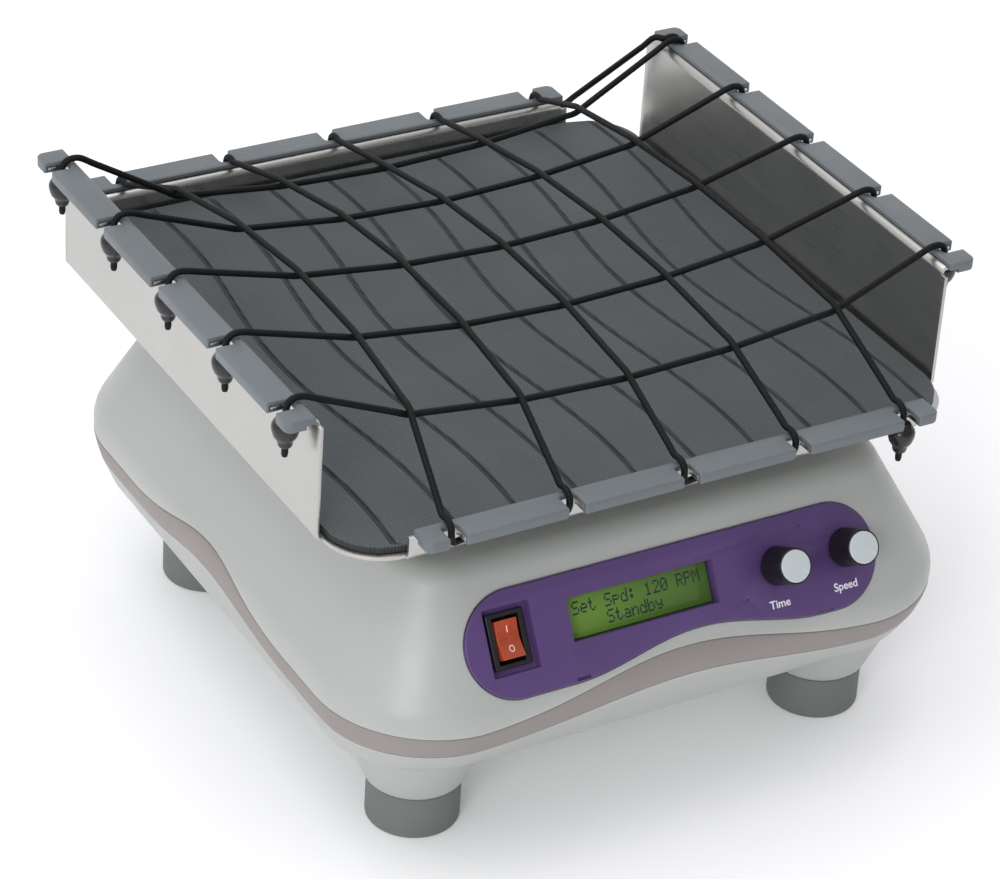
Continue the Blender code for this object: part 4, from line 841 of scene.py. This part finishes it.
bm = bmesh.new()
low = [bm.verts.new((x, y, on_rocker(y))) for x, y in ((-0.22, 2.6), (0.22, 2.6), (0.22, 5.2), (-0.22, 5.2))]
bm.faces.new(low)
bars = bmesh.ops.extrude_face_region(bm, geom=list(bm.faces))["geom"]
bmesh.ops.translate(bm, vec=(0, 0, 0.05), verts=[v for v in bars if isinstance(v, bmesh.types.BMVert)])
rings = []
for radius, lift in ((1.15, 0.0), (1.15, 0.06), (0.8, 0.06), (0.8, 0.0)):
    ring = []
    for step in range(32):
        angle = 2 * math.pi * step / 32
        x, y = radius * math.cos(angle), -3.8 + 1.2 * radius * math.sin(angle)
        ring.append(bm.verts.new((x, y, on_rocker(y) + lift)))
    rings.append(ring)
bridge(bm, rings, True)
marks = finish_mesh(bm, "rocker_marks")
marks.transform(ROCKER)
place_piece("rocker_marks", marks, None, ROCKER_INK, "rocker")

# ---- knobs ----
for label, (x, y) in zip(("time", "speed"), KNOBS):
    bottom, top = 1.6, 15.4
    body = rounded([
        (0.0, top - 0.9), (6.7, top - 0.9), (6.7, top), (7.2, top), (7.7, bottom + 1.2), (7.9, bottom),
        (5.0, bottom), (5.0, bottom + 3.2), (3.1, bottom + 3.2), (3.1, top - 3.7), (0.0, top - 3.7),
    ], 0.45, 3)
    made = lathe(body, 144, (36, 0.28, bottom + 1.3, top - 0.5))
    data = finish_mesh(made, "knob_" + label)
    data.transform(PANEL_WORLD @ Matrix.Translation(Vector((x, y, 0.0)) * MM))
    place_piece("knob_" + label + "_fine", data, "knob_" + label)
    cap = rounded([(0.0, top + 0.5), (6.5, top + 0.42), (6.5, top - 0.6), (0.0, top - 0.6)], 0.5, 5)
    data = finish_mesh(lathe(cap, 96), "knob_cap_" + label, 60.0)
    data.transform(PANEL_WORLD @ Matrix.Translation(Vector((x, y, 0.0)) * MM))
    place_piece("knob_cap_" + label + "_fine", data, "knob_cap_" + label)

# ---- tray ----
TRAY_Z = 137.5
SHEET = 1.5
WALL_OUTER = 140.7
RAIL_OUTER = 154.3
RAIL_WIDTH = 12.3
SIDE_HEIGHT = 53.0
END_HEIGHT = 13.3
NOTCHES = [50.8 * (i - 2) for i in range(5)]
NOTCH_GAP = 7.1
NOTCH_ROOT = RAIL_OUTER - RAIL_WIDTH + 2.0


def wall_section(height):
    points = []
    for step in range(7):
        angle = math.radians(-90.0 + 15.0 * step)
        points.append((WALL_OUTER - 2.5 + 2.5 * math.cos(angle), 2.5 + 2.5 * math.sin(angle)))
    under = height - SHEET
    for step in range(7):
        angle = math.radians(180.0 - 15.0 * step)
        points.append((WALL_OUTER + 1.5 + 1.5 * math.cos(angle), under - 1.5 + 1.5 * math.sin(angle)))
    points.append((NOTCH_ROOT, under))
    points.append((RAIL_OUTER - 1.5, under))
    return points


stations = [-115.1, -112.0]
for notch in NOTCHES:
    stations.extend((notch - 0.5 * NOTCH_GAP + 0.2, notch + 0.5 * NOTCH_GAP - 0.2))
stations.extend((112.0, 115.1))
bm = bmesh.new()
base_loop = []
for quarter in range(4):
    section = wall_section(SIDE_HEIGHT if quarter in (0, 2) else END_HEIGHT)
    out = Vector((math.cos(math.pi / 2 * quarter), math.sin(math.pi / 2 * quarter), 0.0))
    along = Vector((-out.y, out.x, 0.0))
    rows = [[bm.verts.new(out * x + along * s + Vector((0, 0, z))) for x, z in section] for s in stations]
    last = len(section) - 1
    for index, (row, following) in enumerate(zip(rows, rows[1:])):
        gap = 2 <= index <= 10 and index % 2 == 0
        for level in range(last):
            if level >= 7 and index in (0, len(stations) - 2):
                continue
            if level == last - 1 and gap:
                continue
            bm.faces.new((row[level], following[level], following[level + 1], row[level + 1]))
    base_loop.extend(row[0] for row in rows)
    radius = WALL_OUTER - 2.5 - 115.1
    for step in range(1, 14):
        angle = math.radians(90.0 * (quarter + step / 14))
        corner = (out + along) * 115.1
        base_loop.append(bm.verts.new(corner + radius * Vector((math.cos(angle), math.sin(angle), 0.0))))
bm.faces.new(base_loop)
bmesh.ops.delete(bm, geom=[v for v in bm.verts if not v.link_faces], context="VERTS")
tray = finish_mesh(bm, "tray_fine")
sheet = ("SOLIDIFY", {"thickness": SHEET * MM, "offset": 1.0, "use_even_offset": True})
tray_place = Matrix.Translation(Vector((TRAY.x, TRAY.y, TRAY_Z)) * MM)
tray = settle(tray, [sheet, bevel_by(0.18, 2, 60.0)], tray_place)
place_piece("tray_fine", tray, "tray")

# ---- mat ----
MAT_HALF = 136.8
MAT_TOP = 4.8
MAT_LOW = 1.8
GROOVES = [26.9 * (i - 4.5) for i in range(10)]
LIP = (
    (-3.0, 0.0), (-2.2, 0.14), (-1.6, 0.16), (-1.25, -0.2), (-1.0, -0.8),
    (0.8, -0.8), (1.15, -0.3), (1.45, 0.03), (2.2, 0.0),
)
columns = []
for groove in GROOVES:
    columns.extend((groove + x, z) for x, z in LIP)
columns = [(-160.0, 0.0), (-150.0, 0.0)] + columns + [(150.0, 0.0), (160.0, 0.0)]
filled = []
for (x, z), (next_x, _) in zip(columns, columns[1:]):
    filled.append((x, z))
    if next_x - x > 8.0:
        count = int((next_x - x) / 6.0)
        filled.extend((x + (next_x - x) * s / (count + 1), 0.0) for s in range(1, count + 1))
filled.append(columns[-1])
bm = bmesh.new()
grid = []
rows = 96
for row in range(rows + 1):
    y = MAT_HALF * (2.0 * row / rows - 1.0)
    over = max(abs(y) - (MAT_HALF - 24.0), 0.0)
    half = MAT_HALF - 24.0 + math.sqrt(max(24.0**2 - over**2, 0.0))
    swing = -4.9 * math.cos(2.0 * math.pi * y / 210.0)
    line = []
    for x, z in filled:
        x += swing
        edge = abs(x) >= half or row in (0, rows)
        line.append(bm.verts.new((max(-half, min(half, x)), y, MAT_TOP + (0.0 if edge else z))))
    grid.append(line)
for near, far in zip(grid, grid[1:]):
    for i in range(len(filled) - 1):
        bm.faces.new((near[i], near[i + 1], far[i + 1], far[i]))
bmesh.ops.remove_doubles(bm, verts=bm.verts, dist=0.004)
bmesh.ops.dissolve_degenerate(bm, edges=bm.edges, dist=0.004)
rim_edges = [edge for edge in bm.edges if edge.is_boundary]
for depth, grow in ((0.35, 0.0), (MAT_TOP - MAT_LOW - 0.35, 0.0)):
    made = bmesh.ops.extrude_edge_only(bm, edges=rim_edges)["geom"]
    bmesh.ops.translate(bm, vec=(0, 0, -depth), verts=[v for v in made if isinstance(v, bmesh.types.BMVert)])
    rim_edges = [edge for edge in made if isinstance(edge, bmesh.types.BMEdge)]
bmesh.ops.holes_fill(bm, edges=[edge for edge in bm.edges if edge.is_boundary], sides=0)
mat = shifted(finish_mesh(bm, "mat_fine", 28.0), (TRAY.x, TRAY.y, TRAY_Z))
place_piece("mat_fine", mat, "mat")


# ---- rails ----
def rail_outline():
    end = 114.6
    radius = 3.2
    points = [(-end, 0.0), (end, 0.0)]
    for step in range(9):
        angle = math.radians(11.25 * step)
        across = RAIL_WIDTH - radius + radius * math.sin(angle)
        points.append((end - radius + radius * math.cos(angle), across))
    for notch in reversed(NOTCHES):
        right = notch + 0.5 * NOTCH_GAP
        left = notch - 0.5 * NOTCH_GAP
        points.extend(((right, RAIL_WIDTH), (right, 4.4)))
        points.extend(((right - 1.0, 3.4), (left + 1.0, 3.4)))
        points.extend(((left, 4.4), (left, RAIL_WIDTH)))
    for step in range(9):
        angle = math.radians(90.0 + 11.25 * step)
        across = RAIL_WIDTH - radius + radius * math.sin(angle)
        points.append((radius - end + radius * math.cos(angle), across))
    return points


rail_inner = RAIL_OUTER - RAIL_WIDTH
RAILS = (
    ("rail_right", -90.0, SIDE_HEIGHT, (rail_inner, 0.0)), ("rail_back", 0.0, END_HEIGHT, (0.0, rail_inner)),
    ("rail_left", 90.0, SIDE_HEIGHT, (-rail_inner, 0.0)),
    ("rail_front", 180.0, END_HEIGHT, (0.0, -rail_inner)),
)
for name, degrees, height, (x, y) in RAILS:
    data = finish_mesh(prism(rail_outline(), -3.0, 1.8), name)
    data = settle(data, [bevel_by(0.75, 3)])
    slot_cut = finish_mesh(block((224.6, 11.1, 2.1), (0.0, 5.54, -1.05)), "slot")
    room_cut = finish_mesh(block((300.0, 8.0, 3.0), (0.0, 0.0, -2.55)), "room")
    at = Vector((TRAY.x + x, TRAY.y + y, TRAY_Z + height + SEAM)) * MM
    matrix = Matrix.Translation(at) @ Matrix.Rotation(math.radians(degrees), 4, "Z")
    place_piece(name + "_fine", settle(data, [minus(slot_cut), minus(room_cut)], matrix), name)

# ---- cords ----
CORD = 1.5
DROP = 148.0


def net_point(column, row, side):
    x, y = NOTCHES[column], NOTCHES[row]
    part_x, part_y = x / NOTCHES[-1], y / NOTCHES[-1]
    pull = 1.0 - 0.09 * (1.0 - 0.4 * part_y**2)
    rise = 7.6 * part_x**2 - 10.0 * part_y**2 - 4.0 * part_y
    return (x * pull, y, TRAY_Z + 37.6 + rise + side * (CORD + 0.1))


def straighter(points):
    """Adds points along each long run, so that the cord is nearly straight from one crossing to the next."""
    made = [points[0]]
    for a, b in zip(points, points[1:]):
        a, b = Vector(a), Vector(b)
        if (b - a).length > 20.0:
            made.extend(tuple(a.lerp(b, share)) for share in (0.14, 0.5, 0.86))
        made.append(tuple(b))
    return made


def cord_end(height, direction, along, shift=0.0):
    top = height + SEAM + 1.8 + CORD + SEAM
    shape = [
        (DROP, top - 24.4), (DROP, top - 14.0), (DROP, top - 4.6), (DROP - 0.4, top - 2.2),
        (DROP - 1.8, top - 0.5), (DROP - 4.4, top + 0.2), (DROP - 7.6, top - 0.2),
    ]
    out_x, out_y = direction
    return [
        (out_x * d + abs(out_y) * along, out_y * d + abs(out_x) * along + shift, TRAY_Z + z)
        for d, z in shape
    ]


def smooth_path(points, spacing):
    """Points along a centripetal curve through these, evenly spaced."""
    points = [Vector(p) for p in points]
    points = [2 * points[0] - points[1]] + points + [2 * points[-1] - points[-2]]
    fine = []
    for p0, p1, p2, p3 in zip(points, points[1:], points[2:], points[3:]):
        times = [0.0]
        for a, b in ((p0, p1), (p1, p2), (p2, p3)):
            times.append(times[-1] + max((b - a).length, 1e-4) ** 0.5)
        t0, t1, t2, t3 = times
        count = max(2, int((p2 - p1).length / (0.4 * spacing)))
        for step in range(count):
            t = t1 + (t2 - t1) * step / count
            a1 = (t1 - t) / (t1 - t0) * p0 + (t - t0) / (t1 - t0) * p1
            a2 = (t2 - t) / (t2 - t1) * p1 + (t - t1) / (t2 - t1) * p2
            a3 = (t3 - t) / (t3 - t2) * p2 + (t - t2) / (t3 - t2) * p3
            b1 = (t2 - t) / (t2 - t0) * a1 + (t - t0) / (t2 - t0) * a2
            b2 = (t3 - t) / (t3 - t1) * a2 + (t - t1) / (t3 - t1) * a3
            fine.append((t2 - t) / (t2 - t1) * b1 + (t - t1) / (t2 - t1) * b2)
    fine.append(points[-2])
    even = [fine[0]]
    left = spacing
    for a, b in zip(fine, fine[1:]):
        length = (b - a).length
        while length >= left:
            a = a + (b - a) * (left / length)
            even.append(a)
            length = (b - a).length
            left = spacing
        left -= length
    if (even[-1] - fine[-1]).length > 0.3 * spacing:
        even.append(fine[-1])
    return even


def cord(name, points, sides=12):
    path = smooth_path(straighter(points), 1.25)
    bm = bmesh.new()
    rings = []
    normal = None
    count = len(path)
    for index, at in enumerate(path):
        ahead = (path[min(index + 1, count - 1)] - path[max(index - 1, 0)]).normalized()
        if normal is None:
            normal = ahead.orthogonal().normalized()
        normal = (normal - ahead * normal.dot(ahead)).normalized()
        other = ahead.cross(normal)
        reach = 0.92 * CORD * (0.78 if index in (0, count - 1) else 1.0)
        ring = []
        for side in range(sides):
            angle = 2 * math.pi * side / sides
            grow = reach * (1.0 + 0.035 * math.cos(4 * angle + index * math.pi) * (index % 2))
            ring.append(bm.verts.new(at + grow * (math.cos(angle) * normal + math.sin(angle) * other)))
        rings.append(ring)
    bridge(bm, rings)
    bm.faces.new(rings[0])
    bm.faces.new(rings[-1])
    data = shifted(finish_mesh(bm, name, 60.0), TRAY)
    place_piece(name + "_fine", data, name)
    return sum((b - a).length for a, b in zip(path, path[1:]))


LEFT, RIGHT, FRONT, BACK = (-1.0, 0.0), (1.0, 0.0), (0.0, -1.0), (0.0, 1.0)
for row in range(4):
    y = NOTCHES[row]
    points = cord_end(SIDE_HEIGHT, LEFT, y) + [net_point(c, row, -1) for c in range(5)]
    points += cord_end(SIDE_HEIGHT, RIGHT, y)[::-1]
    name = "cord_across_" + str(row + 1)
    cord(name, points)


def lengthwise(column):
    x = NOTCHES[column]
    run = [net_point(column, row, 1) for row in reversed(range(5))]
    return cord_end(END_HEIGHT, BACK, x) + run + cord_end(END_HEIGHT, FRONT, x)[::-1]


for first, name in ((0, "cord_along_1_2"), (2, "cord_along_3_4")):
    start = lengthwise(first)[:-2]
    finish = lengthwise(first + 1)[::-1][2:]
    under = TRAY_Z + END_HEIGHT - SHEET - SEAM - 0.9 - CORD - 1.6
    a, b = NOTCHES[first], NOTCHES[first + 1]
    turn = [
        (a + 0.3, -DROP + 0.2, under + 3.0), (a + 1.6, -DROP + 1.0, under + 0.9),
        (a + 4.6, -DROP + 2.4, under), (a + 9.0, -DROP + 3.2, under - 0.2),
        (b - 9.0, -DROP + 3.2, under - 0.2), (b - 4.6, -DROP + 2.4, under),
        (b - 1.6, -DROP + 1.0, under + 0.9), (b - 0.3, -DROP + 0.2, under + 3.0),
    ]
    cord(name, start + turn + finish)

corner = NOTCHES[-1]
rail_top = TRAY_Z + SIDE_HEIGHT
run = lengthwise(4)[::-1][:-2]
run += [
    (corner + 0.3, DROP - 0.1, TRAY_Z + END_HEIGHT - 4.6),
    (corner + 2.0, DROP - 0.4, TRAY_Z + END_HEIGHT - 6.4),
    (corner + 5.0, DROP - 0.8, TRAY_Z + END_HEIGHT - 6.9), (117.0, DROP - 1.8, TRAY_Z + END_HEIGHT - 5.0),
]
over = cord_end(SIDE_HEIGHT, RIGHT, corner, 1.65)
back = cord_end(SIDE_HEIGHT, RIGHT, corner, -1.65)
run += [(WALL_OUTER - 3.6, corner + 4.2, over[-1][2])]
run += over[:1:-1]
run += [
    (DROP, corner + 2.6, rail_top - 8.0), (DROP, corner + 3.4, rail_top - 11.5),
    (DROP, corner + 2.2, rail_top - 14.6), (DROP, corner, rail_top - 15.8),
    (DROP, corner - 2.2, rail_top - 14.6), (DROP, corner - 3.4, rail_top - 11.5),
    (DROP, corner - 2.6, rail_top - 8.0),
]
run += back[2:]
run += [net_point(column, 4, -1) for column in reversed(range(5))]
run += cord_end(SIDE_HEIGHT, LEFT, corner)[::-1]
cord("cord_corner", run)

STOPPER = rounded([
    (1.6, 0.0), (3.3, 0.0), (4.3, -1.6), (5.5, -3.4), (5.5, -5.6),
    (4.6, -8.6), (3.2, -10.2), (2.9, -12.2), (2.4, -13.2), (1.6, -13.2),
], 1.3, 4)
for node in sorted(NODES):
    if not node.startswith("stopper_"):
        continue
    low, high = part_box(node)
    at = 0.5 * (low + high) / MM
    profile = STOPPER + [STOPPER[0]]
    data = finish_mesh(lathe(profile, 32), node, 50.0)
    place_piece(node + "_fine", shifted(data, (at.x, at.y, high.z / MM)), node)

bpy.context.view_layer.update()
